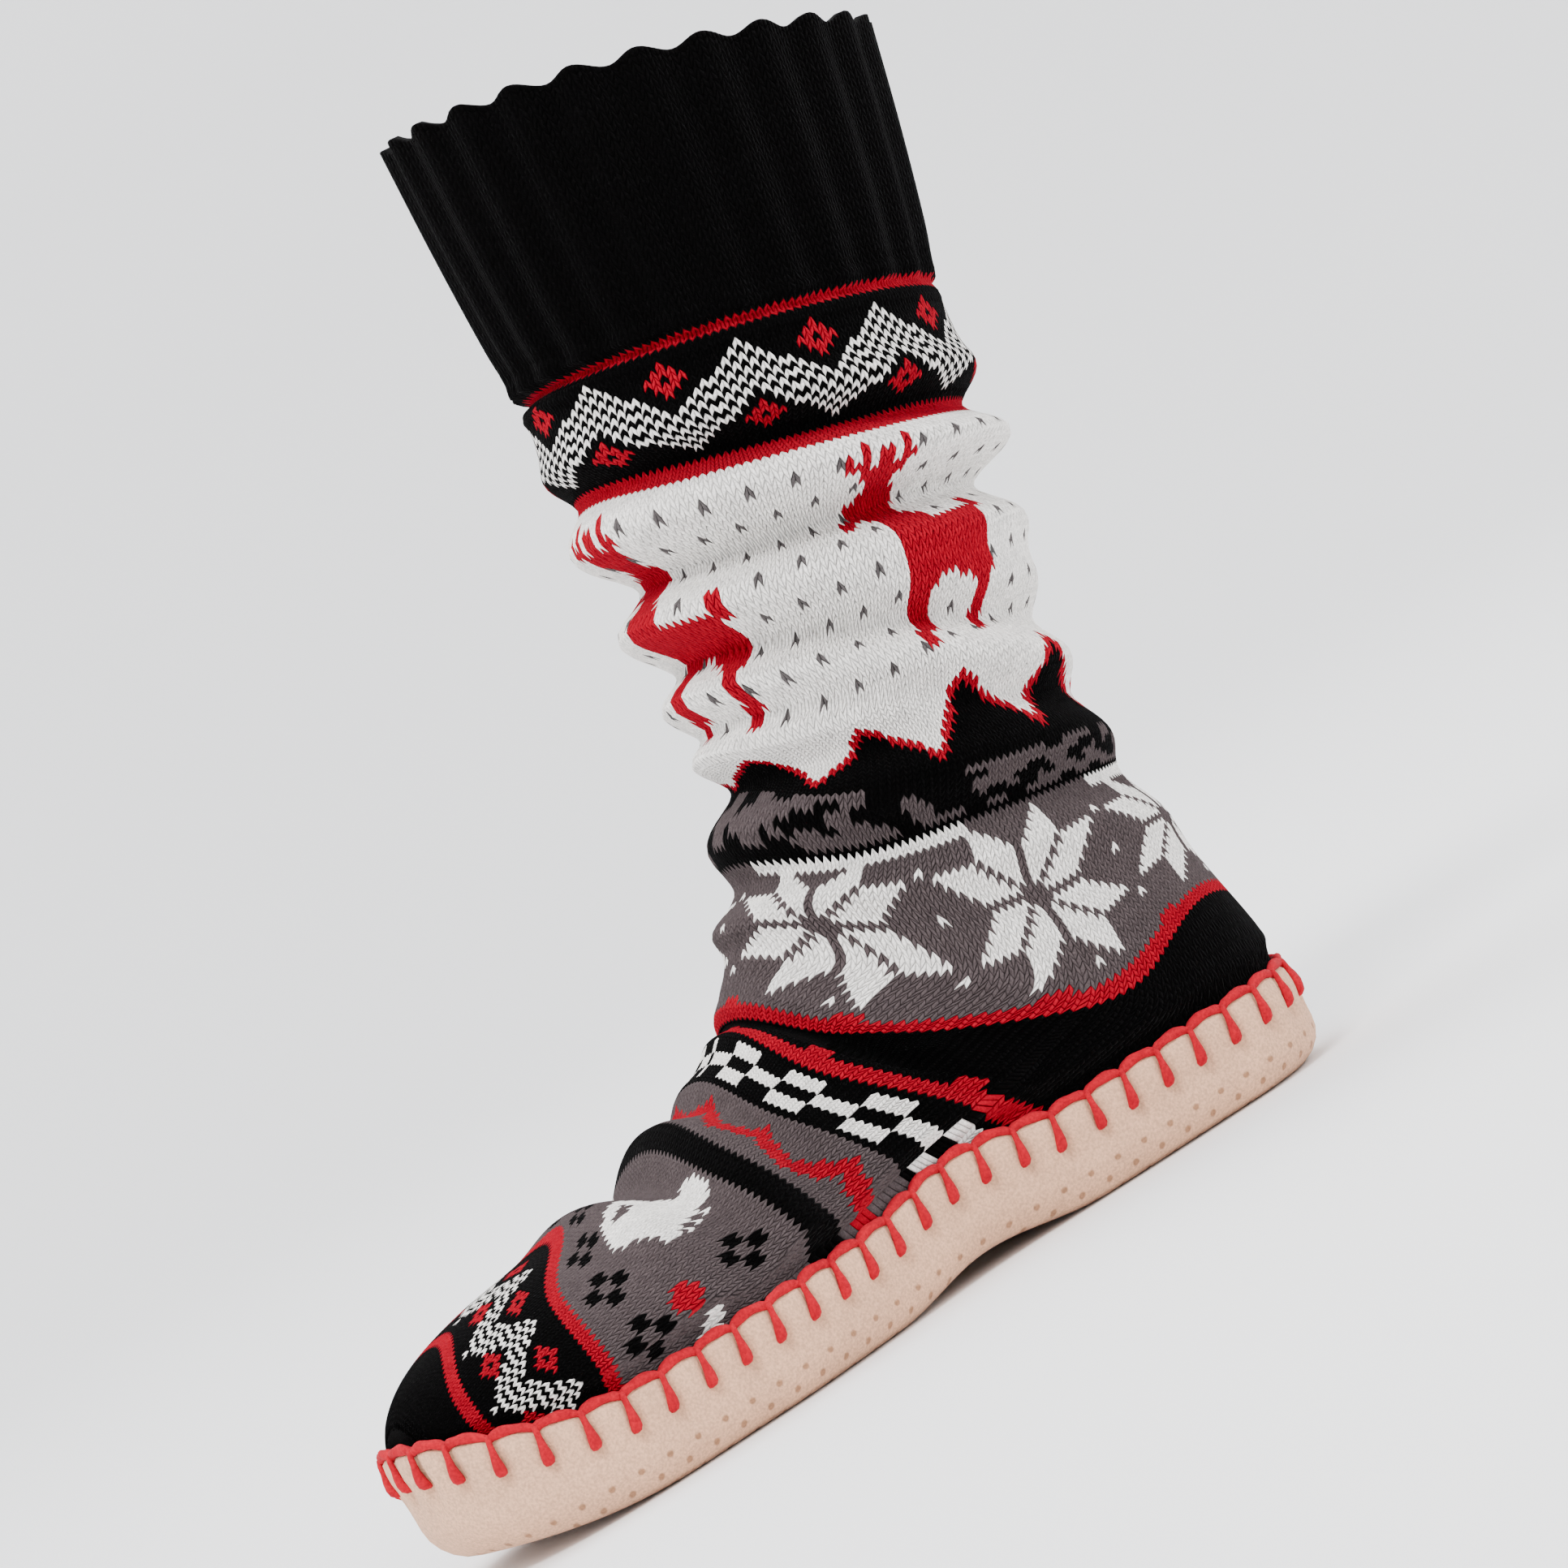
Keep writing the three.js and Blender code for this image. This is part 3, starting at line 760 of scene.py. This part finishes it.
def paint_yarns_and_groove_shade(data):
    """Colour each strand as its yarn, with painted shade darkening it down in the grooves between strands."""
    corners = stored(data.polygons, "loop_total", np.int32)
    yarns = np.repeat(stored(data.attributes["yarn"].data, "value", np.int32), corners)
    verts = stored(data.loops, "vertex_index", np.int32)
    deep = stored(data.attributes["groove"].data, "value", np.float32)[verts]
    # Painted shade: the yarn colour is darkened at corners that lie down in the grooves between strands.
    shade = lerp(1, np.where(yarns == WHITE, WHITE_GROOVE_SHADE, GROOVE_SHADE), deep)
    colours = np.column_stack([np.array(YARN_COLOURS)[yarns] * shade[:, None], np.ones(len(shade))])
    painted = data.color_attributes.new(name="knit", type="FLOAT_COLOR", domain="CORNER")
    painted.data.foreach_set("color", colours.ravel())


def knit_piece(name, first, last, material):
    """A length of the sock, one face for each leg of a stitch, open where it would go under the foot."""
    work = bmesh.new()
    verts, column, row = grid(work, COLUMNS, last - first)
    row += first
    points = stitch_points(first, last, row, column)
    hem = sole_lift(points[:, 1]) + HEM
    under = points[:, 2] < hem
    points[:, 2] = np.maximum(points[:, 2], hem)
    for vert, point in zip(verts, points):
        vert.co = point
    yarn = work.faces.layers.int.new("yarn")
    groove = work.verts.layers.float.new("groove")
    work.verts.ensure_lookup_table()
    for face in work.faces:
        corner = min(vert.index for vert in face.verts)
        face[yarn] = int(band_chart[row[corner], column[corner] // 2])
    floor = [face for face in work.faces if all(under[vert.index] for vert in face.verts)]
    bmesh.ops.delete(work, geom=floor, context="FACES")
    weld(work)
    outside = list(work.faces)
    outer_verts = list(work.verts)
    bmesh.ops.solidify(work, geom=outside, thickness=KNIT_WALL)
    keep_wall_even(work, outer_verts)
    raise_strands(work, outside, outer_verts, groove)
    piece = new_piece(name, work, material, "upper")
    paint_yarns_and_groove_shade(piece.data)


# Materials

STITCH_YARN_COLOUR = (0.42, 0.0006, 0.013, 1)
FELT_COLOUR = (0.42, 0.37, 0.31, 1)
SUEDE_COLOUR = (0.70, 0.41, 0.26, 1)
DOT_COLOUR = (0.37, 0.19, 0.105, 1)
DOT_PITCH = 0.008
DOT_RADIUS = 0.00085
DOT_HEIGHT = 0.0085
DOT_FADE = 0.001


def put(tree, kind, inputs, **settings):
    """A new node with its settings, and its inputs set or linked."""
    made = tree.nodes.new(kind)
    for label, value in settings.items():
        setattr(made, label, value)
    for label, value in inputs.items():
        if isinstance(value, bpy.types.NodeSocket):
            tree.links.new(value, made.inputs[label])
        else:
            made.inputs[label].default_value = value
    return made


def start_group(name, inputs, outputs):
    group = bpy.data.node_groups.new(name, "ShaderNodeTree")
    for label, kind, value in inputs:
        group.interface.new_socket(name=label, in_out="INPUT", socket_type=kind).default_value = value
    for label, kind in outputs:
        group.interface.new_socket(name=label, in_out="OUTPUT", socket_type=kind)
    return group, group.nodes.new("NodeGroupInput"), group.nodes.new("NodeGroupOutput")


SURFACE_OUTPUTS = (
    ("Colour", "NodeSocketColor"),
    ("Roughness", "NodeSocketFloat"),
    ("Normal", "NodeSocketVector"),
)


def noise(group, place, scale, detail, distortion=0):
    made = put(group, "ShaderNodeTexNoise", {
        "Vector": place, "Scale": scale, "Detail": detail, "Distortion": distortion})
    return made.outputs["Fac"]


def ranged(tree, value, start, stop, low, high):
    """A value brought from the range start to stop to the range low to high."""
    made = put(tree, "ShaderNodeMapRange", {
        "Value": value, "From Min": start, "From Max": stop, "To Min": low, "To Max": high})
    return made.outputs[0]


def math_of(tree, operation, first, second):
    return put(tree, "ShaderNodeMath", {0: first, 1: second}, operation=operation).outputs[0]


def finish_group(group, result, colour, tone, roughness, height, depth, strength):
    """Give a surface group its colour times a tone, its roughness, and its normal from a bump."""
    toned = put(group, "ShaderNodeVectorMath", {0: colour, "Scale": tone}, operation="SCALE")
    bump = put(group, "ShaderNodeBump", {"Height": height, "Distance": depth, "Strength": strength})
    group.links.new(toned.outputs[0], result.inputs["Colour"])
    group.links.new(roughness, result.inputs["Roughness"])
    group.links.new(bump.outputs[0], result.inputs["Normal"])
    return group


def wool_group():
    """Loose wool: fine fibres, and a little light and dark along the yarn."""
    group, given, result = start_group("wool", (
        ("Colour", "NodeSocketColor", (1, 1, 1, 1)),
        ("Fibre Scale", "NodeSocketFloat", 1800),
        ("Fibre Depth", "NodeSocketFloat", 0.0003),
    ), SURFACE_OUTPUTS)
    place = put(group, "ShaderNodeTexCoord", {}).outputs["Object"]
    fibres = noise(group, place, scale=given.outputs["Fibre Scale"], detail=3)
    shade = noise(group, place, scale=320, detail=2)
    fibre_tone = ranged(group, fibres, start=0.3, stop=0.7, low=0.72, high=1.16)
    yarn_tone = ranged(group, shade, start=0.3, stop=0.7, low=0.88, high=1.08)
    tone = math_of(group, "MULTIPLY", fibre_tone, yarn_tone)
    roughness = ranged(group, fibres, start=0, stop=1, low=0.8, high=1)
    return finish_group(group, result, given.outputs["Colour"], tone, roughness,
                        height=fibres, depth=given.outputs["Fibre Depth"], strength=0.8)


def nap_group():
    """A short brushed nap: fine grain, and soft patches where it lies another way."""
    group, given, result = start_group("nap", (
        ("Colour", "NodeSocketColor", (1, 1, 1, 1)),
        ("Grain Scale", "NodeSocketFloat", 1500),
        ("Grain Depth", "NodeSocketFloat", 0.0004),
        ("Patches", "NodeSocketFloat", 0.1),
    ), SURFACE_OUTPUTS)
    place = put(group, "ShaderNodeTexCoord", {}).outputs["Object"]
    grain = noise(group, place, scale=given.outputs["Grain Scale"], detail=4)
    patches = noise(group, place, scale=60, detail=3, distortion=0.6)
    least = math_of(group, "SUBTRACT", 1, given.outputs["Patches"])
    grain_tone = ranged(group, grain, start=0.35, stop=0.65, low=0.78, high=1.1)
    patch_tone = ranged(group, patches, start=0.35, stop=0.65, low=least, high=1)
    tone = math_of(group, "MULTIPLY", grain_tone, patch_tone)
    roughness = ranged(group, grain, start=0, stop=1, low=0.82, high=1)
    return finish_group(group, result, given.outputs["Colour"], tone, roughness,
                        height=grain, depth=given.outputs["Grain Depth"], strength=0.7)


wool = wool_group()
nap = nap_group()


def new_material(name, sheen, specular):
    """An empty material and its shader, matt, with a soft sheen."""
    material = bpy.data.materials.new(name)
    material.use_nodes = True
    shader = material.node_tree.nodes["Principled BSDF"]
    shader.inputs["Sheen Weight"].default_value = sheen
    shader.inputs["Sheen Roughness"].default_value = 0.5
    shader.inputs["Specular IOR Level"].default_value = specular
    return material, material.node_tree, shader


def dress(tree, shader, surface, inputs):
    """Place a surface group with its inputs, and lead what it puts out to the shader."""
    effect = put(tree, "ShaderNodeGroup", inputs, node_tree=surface)
    tree.links.new(effect.outputs["Colour"], shader.inputs["Base Color"])
    tree.links.new(effect.outputs["Roughness"], shader.inputs["Roughness"])
    tree.links.new(effect.outputs["Normal"], shader.inputs["Normal"])


def knitted_wool():
    material, tree, shader = new_material("knitted_wool", sheen=0.01, specular=0.04)
    # The knit colour holds each yarn's colour and the painted shade in the grooves between strands.
    chart = put(tree, "ShaderNodeAttribute", {}, attribute_name="knit")
    dress(tree, shader, wool, {"Colour": chart.outputs["Color"]})
    return material


def stitching_yarn():
    material, tree, shader = new_material("red_yarn", sheen=0.02, specular=0.15)
    dress(tree, shader, wool, {"Colour": STITCH_YARN_COLOUR, "Fibre Scale": 1300})
    return material


def insole_felt():
    material, tree, shader = new_material("insole_felt", sheen=0.2, specular=0.2)
    dress(tree, shader, nap, {"Colour": FELT_COLOUR, "Grain Scale": 1400, "Patches": 0.2})
    return material


def sole_suede():
    """Suede with small brown grip dots in staggered rows on the underside and low on the side."""
    material, tree, shader = new_material("sole_suede", sheen=0.06, specular=0.15)
    unrolled = put(tree, "ShaderNodeUVMap", {}, uv_map="suede").outputs["UV"]
    lattices = []
    for shift in (0, DOT_PITCH / 2):
        moved = put(tree, "ShaderNodeVectorMath", {0: unrolled, 1: (shift, shift, 0)}, operation="ADD")
        cell = put(tree, "ShaderNodeVectorMath", {
            0: moved.outputs[0], 1: (DOT_PITCH, DOT_PITCH, 1), 2: (0, 0, 0)}, operation="WRAP")
        away = put(tree, "ShaderNodeVectorMath", {
            0: cell.outputs[0], 1: (DOT_PITCH / 2, DOT_PITCH / 2, 0)}, operation="DISTANCE")
        lattices.append(away.outputs["Value"])
    nearest = math_of(tree, "MINIMUM", *lattices)
    dots = ranged(tree, nearest, start=DOT_RADIUS * 1.3, stop=DOT_RADIUS * 0.8, low=0, high=1)
    place = put(tree, "ShaderNodeTexCoord", {}).outputs["Object"]
    height = put(tree, "ShaderNodeSeparateXYZ", {"Vector": place}).outputs["Z"]
    low_down = ranged(tree, height, start=DOT_HEIGHT, stop=DOT_HEIGHT - DOT_FADE, low=0, high=1)
    seen = math_of(tree, "MULTIPLY", dots, low_down)
    dotted = put(tree, "ShaderNodeMix", {0: seen, 6: SUEDE_COLOUR, 7: DOT_COLOUR}, data_type="RGBA")
    dress(tree, shader, nap, {"Colour": dotted.outputs[2]})
    return material


# The suede sole, the insole and the yarn, laid around the outline of the sole

TAB_SHARE = 0.55
INNER_DROP = 0.005
SIDE_STRETCH = 1.1


def between_stitches(place):
    """0 at each stitch and 1 half way to the next, for a place counted in stitches."""
    return np.abs(np.sin(math.pi * place))


def tab_height(place):
    return TAB_RISE * TAB_SHARE * between_stitches(place) ** 0.5


def spine_of(points):
    """The place on the middle line of the sole that a point of its edge faces."""
    y = np.clip(points[:, 1], HEEL_CENTRE - SOLE_LENGTH + SPINE_TOE_END, HEEL_CENTRE - SPINE_HEEL_END)
    return np.stack([sole_middle(share_of(y)), y], 1)


def laid_around(work, levels, count):
    """A closed form around the sole: each level has a share towards the spine, an inset and a height."""
    verts, step, level = grid(work, count, len(levels) - 1)
    edge, inward = sole_loop(count)
    spots = np.zeros((len(levels), count, 3))
    for index, (to_spine, inset, height) in enumerate(levels):
        plan = edge + inward * inset
        plan = lerp(plan, spine_of(plan), to_spine)
        spots[index, :, :2] = plan
        spots[index, :, 2] = sole_lift(plan[:, 1]) + height(plan[:, 1], np.arange(count) * STITCHES / count)
    for vert, at, around in zip(verts, level, step % count):
        vert.co = spots[at, around]
    return step, level


def above_sole(height):
    return lambda y, place: np.full_like(y, height)


def above_edge(height, tab):
    return lambda y, place: edge_height(y) + height + tab * tab_height(place)


def suede_levels():
    """From the middle of the pan's inside, up its wall, over the edge, and down and under to the middle."""
    inner_round = BOTTOM_ROUND - SUEDE_WALL
    half = SUEDE_WALL / 2
    levels = [(share, BOTTOM_ROUND, above_sole(SUEDE_WALL)) for share in (1, 0.7, 0.35)]
    for turned in np.radians((0, 30, 60, 90)):
        levels.append((0, BOTTOM_ROUND - inner_round * math.sin(turned),
                       above_sole(SUEDE_WALL + inner_round * (1 - math.cos(turned)))))
    levels.append((0, SUEDE_WALL, above_edge(-INNER_DROP, 0.5)))
    for turned in np.radians((0, 45, 90, 135, 180)):
        levels.append((0, half * (1 + math.cos(turned)), above_edge(half * (math.sin(turned) - 1), 1)))
    for share in (0.12, 0.25, 0.4, 0.55, 0.7, 0.85):
        levels.append((0, 0, lambda y, place, share=share: lerp(
            edge_height(y) - half + tab_height(place) * (1 - share) ** 2, BOTTOM_ROUND, share)))
    for turned in np.radians((90, 72, 54, 36, 18, 0)):
        levels.append((0, BOTTOM_ROUND * (1 - math.sin(turned)),
                       above_sole(BOTTOM_ROUND * (1 - math.cos(turned)))))
    levels += [(share, BOTTOM_ROUND, above_sole(0)) for share in (0.25, 0.5, 0.75, 1)]
    return levels


# Levels of the suede's outside, from the top of its edge to where it meets the underside.
FIRST_OUTER_LEVEL = 12
LAST_OUTER_LEVEL = 24

# The suede is drawn in near each stitch, at the stitch's foot and at the edge, and swells between stitches:
# how far, and the height over which that fades.
NEAR_STITCH = 0.14
FOOT_PULL, FOOT_FADE = 0.0013, 0.0036
EDGE_PULL, EDGE_FADE = 0.0009, 0.004
SWELL, SWELL_DROP, SWELL_FADE = 0.001, 0.004, 0.005


def bell(value):
    return math.exp(-value ** 2)


def drawn_in(place, below):
    """How far the suede is drawn in at a place counted in stitches and a distance below its edge."""
    near = bell((place - round(place)) / NEAR_STITCH)
    pull = FOOT_PULL * bell((below - STITCH_DROP) / FOOT_FADE) + EDGE_PULL * bell(below / EDGE_FADE)
    return near * pull - (1 - near) * SWELL * bell((below - SWELL_DROP) / SWELL_FADE)


def unroll_suede(work, step, level, spread):
    """Lay out the suede for its dots: around and up on the side, and as seen from below on the underside."""
    unrolled = work.loops.layers.uv.new("suede")
    work.verts.ensure_lookup_table()
    for face in work.faces:
        side = max(level[vert.index] for vert in face.verts) <= LAST_OUTER_LEVEL
        for loop in face.loops:
            place = loop.vert.co
            loop[unrolled].uv = (step[loop.vert.index] * spread, place.z * SIDE_STRETCH) if side else place.xy


def make_sole(material):
    work = bmesh.new()
    step, level = laid_around(work, suede_levels(), SUEDE_STEPS)
    edge, inward = sole_loop(SUEDE_STEPS)
    for vert, at, around in zip(work.verts, level, step):
        if FIRST_OUTER_LEVEL <= at <= LAST_OUTER_LEVEL:
            y = np.float64(vert.co.y)
            below = edge_height(y) + sole_lift(y) - vert.co.z
            inset = drawn_in(around * STITCHES / SUEDE_STEPS, below)
            vert.co.xy += Vector(inward[around % SUEDE_STEPS] * inset)
    unroll_suede(work, step, level, np.linalg.norm(edge - np.roll(edge, 1, 0), axis=1).mean())
    weld(work)
    return new_piece("suede_sole", work, material, "sole")


def make_insole(material):
    """A felt insole, a little crowned, with a rounded shoulder and a smaller round below."""
    inset = KNIT_INSET + KNIT_WALL + INSOLE_GAP
    floor = SUEDE_WALL + CLEARANCE
    levels = [(share, inset + 2 * INSOLE_ROUND, above_sole(floor + INSOLE_THICKNESS + INSOLE_CROWN * share))
              for share in (1, 0.75, 0.5, 0.25, 0)]
    for turned in np.radians((20, 40, 60, 80, 100, 125, 150, 180)):
        drawn = INSOLE_ROUND * (1 - math.sin(turned)) + INSOLE_ROUND * max(0, math.cos(turned))
        levels.append((0, inset + drawn, above_sole(floor + INSOLE_THICKNESS * (1 + math.cos(turned)) / 2)))
    levels += [(share, inset + INSOLE_ROUND, above_sole(floor)) for share in (0.3, 0.65, 1)]
    work = bmesh.new()
    laid_around(work, levels, EDGE_STEPS)
    weld(work)
    return new_piece("felt_insole", work, material, "insole")


# The yarn along the edge: its plies and their turns between stitches, and how each stitch presses it.
PLY_DEPTH = 0.14
PLY_TURNS = 1.5
PRESSED_FULLNESS, FREE_FULLNESS = 0.82, 0.90
PRESSED_DROP = 0.0003
YARN_SEAT = YARN_WIDTH * 0.32
YARN_INSET = 0.0006
YARN_SIDES = 12


def make_edge_yarn(material):
    """The yarn that lies along the suede edge, two plies twisted together."""
    work = bmesh.new()
    verts, steps, sides = grid(work, YARN_STEPS, YARN_SIDES)
    edge, inward = sole_loop(YARN_STEPS)
    for vert, step, side in zip(verts, steps % YARN_STEPS, sides % YARN_SIDES):
        angle = 2 * math.pi * side / YARN_SIDES
        place = step * STITCHES / YARN_STEPS
        free = between_stitches(place)
        y = edge[step, 1]
        radius = YARN_WIDTH / 2 * (1 + PLY_DEPTH * math.cos(2 * (angle + math.pi * place * PLY_TURNS)))
        radius *= lerp(PRESSED_FULLNESS, FREE_FULLNESS, free)
        middle = sole_lift(y) + edge_height(y) + tab_height(place) + YARN_SEAT - PRESSED_DROP * (1 - free)
        flat = edge[step] + inward[step] * (YARN_INSET - radius * math.cos(angle))
        vert.co = (*flat, middle - radius * math.sin(angle))
    weld(work)
    return new_piece("edge_yarn_round", work, material, "edge_yarn")


# A stitch leg from the yarn down the suede: share of the way, distance out of the suede and thickness.
STITCH_PROFILE = (
    (0.00, 0.0000, 0.25),
    (0.02, 0.0003, 0.46),
    (0.16, 0.0007, 0.54),
    (0.34, 0.0009, 0.58),
    (0.54, 0.0012, 0.80),
    (0.72, 0.0011, 1.04),
    (0.87, 0.0007, 1.10),
    (0.96, 0.0001, 0.82),
    (1.00, -0.0006, 0.00),
)

# Where a leg starts in the edge yarn and how far past its drop it goes back into the suede.
STITCH_START = YARN_WIDTH * 0.6
STITCH_SINK = YARN_WIDTH * 0.35
STITCH_SIDES = 8
STITCH_SPREAD = 0.0004
STITCH_SEED = 11


def make_stitches(material):
    """The legs of the whip stitch, from the edge yarn down the suede, each with its own lean."""
    work = bmesh.new()
    edge, inward = sole_loop(SUEDE_STEPS)
    leans = np.random.default_rng(STITCH_SEED).normal(0, STITCH_SPREAD, STITCHES)
    run = STITCH_START + STITCH_DROP + STITCH_SINK
    for stitch, lean in enumerate(leans):
        at = stitch * SUEDE_STEPS // STITCHES
        out = -Vector((*inward[at], 0))
        along = Vector((-inward[at, 1], inward[at, 0], 0))
        if along.y > 0:
            along = -along
        y = edge[at, 1]
        top = Vector((*edge[at], sole_lift(y) + edge_height(y) + STITCH_START))
        verts, sides, levels = grid(work, STITCH_SIDES, len(STITCH_PROFILE) - 1)
        for vert, side, level in zip(verts, sides % STITCH_SIDES, levels):
            share, stand, width = STITCH_PROFILE[level]
            angle = 2 * math.pi * side / STITCH_SIDES
            middle = top + out * stand + along * (STITCH_SLANT + lean) * share - Vector((0, 0, run * share))
            vert.co = middle + (out * math.cos(angle) + along * math.sin(angle)) * (YARN_WIDTH / 2 * width)
    weld(work)
    bmesh.ops.recalc_face_normals(work, faces=work.faces)
    return new_piece("edge_yarn_stitches", work, material, "edge_yarn")


# Lengths of the sock, toe to rim, and the row where each ends.
KNIT_PIECES = (
    ("knit_toe", 43),
    ("knit_vamp", 73),
    ("knit_instep", 109),
    ("knit_ankle", 156),
    ("knit_shin", 197),
    ("knit_leg", 239),
    ("knit_cuff", ROWS),
)

knit_material = knitted_wool()
start_row = 0
for name, end_row in KNIT_PIECES:
    knit_piece(name, start_row, end_row, knit_material)
    start_row = end_row
make_sole(sole_suede())
make_insole(insole_felt())
yarn_material = stitching_yarn()
make_edge_yarn(yarn_material)
make_stitches(yarn_material)


# The stage: a pale floor that curves up into a soft wall on every side, three soft lights and the camera

STAGE_RADIUS = 3.0
STAGE_STEPS = 64
STAGE_LEVELS = 24
STAGE_REACH = 1.6
WALL_START = 0.55
WALL_SPREAD = 0.35
FLOOR_COLOUR = (0.93, 0.93, 0.93, 1)
ROOM_COLOUR = (0.95, 0.96, 1, 1)
ROOM_LIGHT = 1.4
MIDDLE = Vector((0, -0.080, 0.150))

# Name, place, width and power of each light.
LIGHTS = (
    ("key", (1.2, -1.1, 2.2), 1.0, 64),
    ("fill", (0.6, 1.9, 1.3), 1.6, 20),
    ("top", (-0.5, -0.1, 2.3), 1.6, 42),
)

AZIMUTH = math.radians(65)
ELEVATION = math.radians(2)
ROLL = math.radians(30)
DISTANCE = 1.6
AIM_RIGHT, AIM_DOWN = 0.037, 0.010
FOCAL_PIXELS = 8300
PICTURE_PIXELS = 1932
SENSOR = 36


def pale_floor():
    material, tree, shader = new_material("pale_floor", sheen=0, specular=0.2)
    shader.inputs["Base Color"].default_value = FLOOR_COLOUR
    shader.inputs["Roughness"].default_value = 0.8
    return material


def make_stage():
    work = bmesh.new()
    verts, steps, levels = grid(work, STAGE_STEPS, STAGE_LEVELS)
    for vert, step, level in zip(verts, steps % STAGE_STEPS, levels):
        turn = 2 * math.pi * step / STAGE_STEPS
        out = STAGE_REACH * level / STAGE_LEVELS
        radius = STAGE_RADIUS * min(out, 1 + max(0, out - 1) * WALL_SPREAD)
        rise = STAGE_RADIUS * max(0, out - WALL_START) ** 2
        vert.co = (radius * math.cos(turn), radius * math.sin(turn), rise)
    weld(work)
    bmesh.ops.recalc_face_normals(work, faces=work.faces)
    bmesh.ops.reverse_faces(work, faces=[face for face in work.faces if face.normal.z < 0])
    floor = new_object("floor", work, pale_floor())


def make_light(name, place, size, power):
    lamp = bpy.data.lights.new(name, "AREA")
    lamp.shape = "DISK"
    lamp.size = size
    lamp.energy = power
    holder = bpy.data.objects.new(name, lamp)
    holder.location = place
    holder.rotation_euler = (MIDDLE - Vector(place)).to_track_quat("-Z", "Y").to_euler()
    bpy.context.scene.collection.objects.link(holder)


def make_room():
    """Pale light from all around."""
    world = bpy.data.worlds.new("pale_room")
    world.use_nodes = True
    background = world.node_tree.nodes["Background"]
    background.inputs["Color"].default_value = ROOM_COLOUR
    background.inputs["Strength"].default_value = ROOM_LIGHT
    bpy.context.scene.world = world


def make_camera():
    """The camera at the photograph's angle, rolled so that the leg leans to the left."""
    level = Vector((math.sin(AZIMUTH), -math.cos(AZIMUTH), 0)) * math.cos(ELEVATION)
    away = level + Vector((0, 0, math.sin(ELEVATION)))
    level_right = (-away).cross(Vector((0, 0, 1))).normalized()
    level_up = level_right.cross(-away)
    right = level_right * math.cos(ROLL) - level_up * math.sin(ROLL)
    up = level_right * math.sin(ROLL) + level_up * math.cos(ROLL)
    aim = MIDDLE + right * AIM_RIGHT - up * AIM_DOWN
    lens = bpy.data.cameras.new("camera")
    lens.sensor_width = SENSOR
    lens.lens = FOCAL_PIXELS / PICTURE_PIXELS * SENSOR
    camera = bpy.data.objects.new("camera", lens)
    turned = Matrix((right, up, away)).transposed().to_4x4()
    camera.matrix_world = Matrix.Translation(aim + away * DISTANCE) @ turned
    bpy.context.scene.collection.objects.link(camera)
    bpy.context.scene.camera = camera


make_stage()
for name, place, size, power in LIGHTS:
    make_light(name, place, size, power)
make_room()
make_camera()
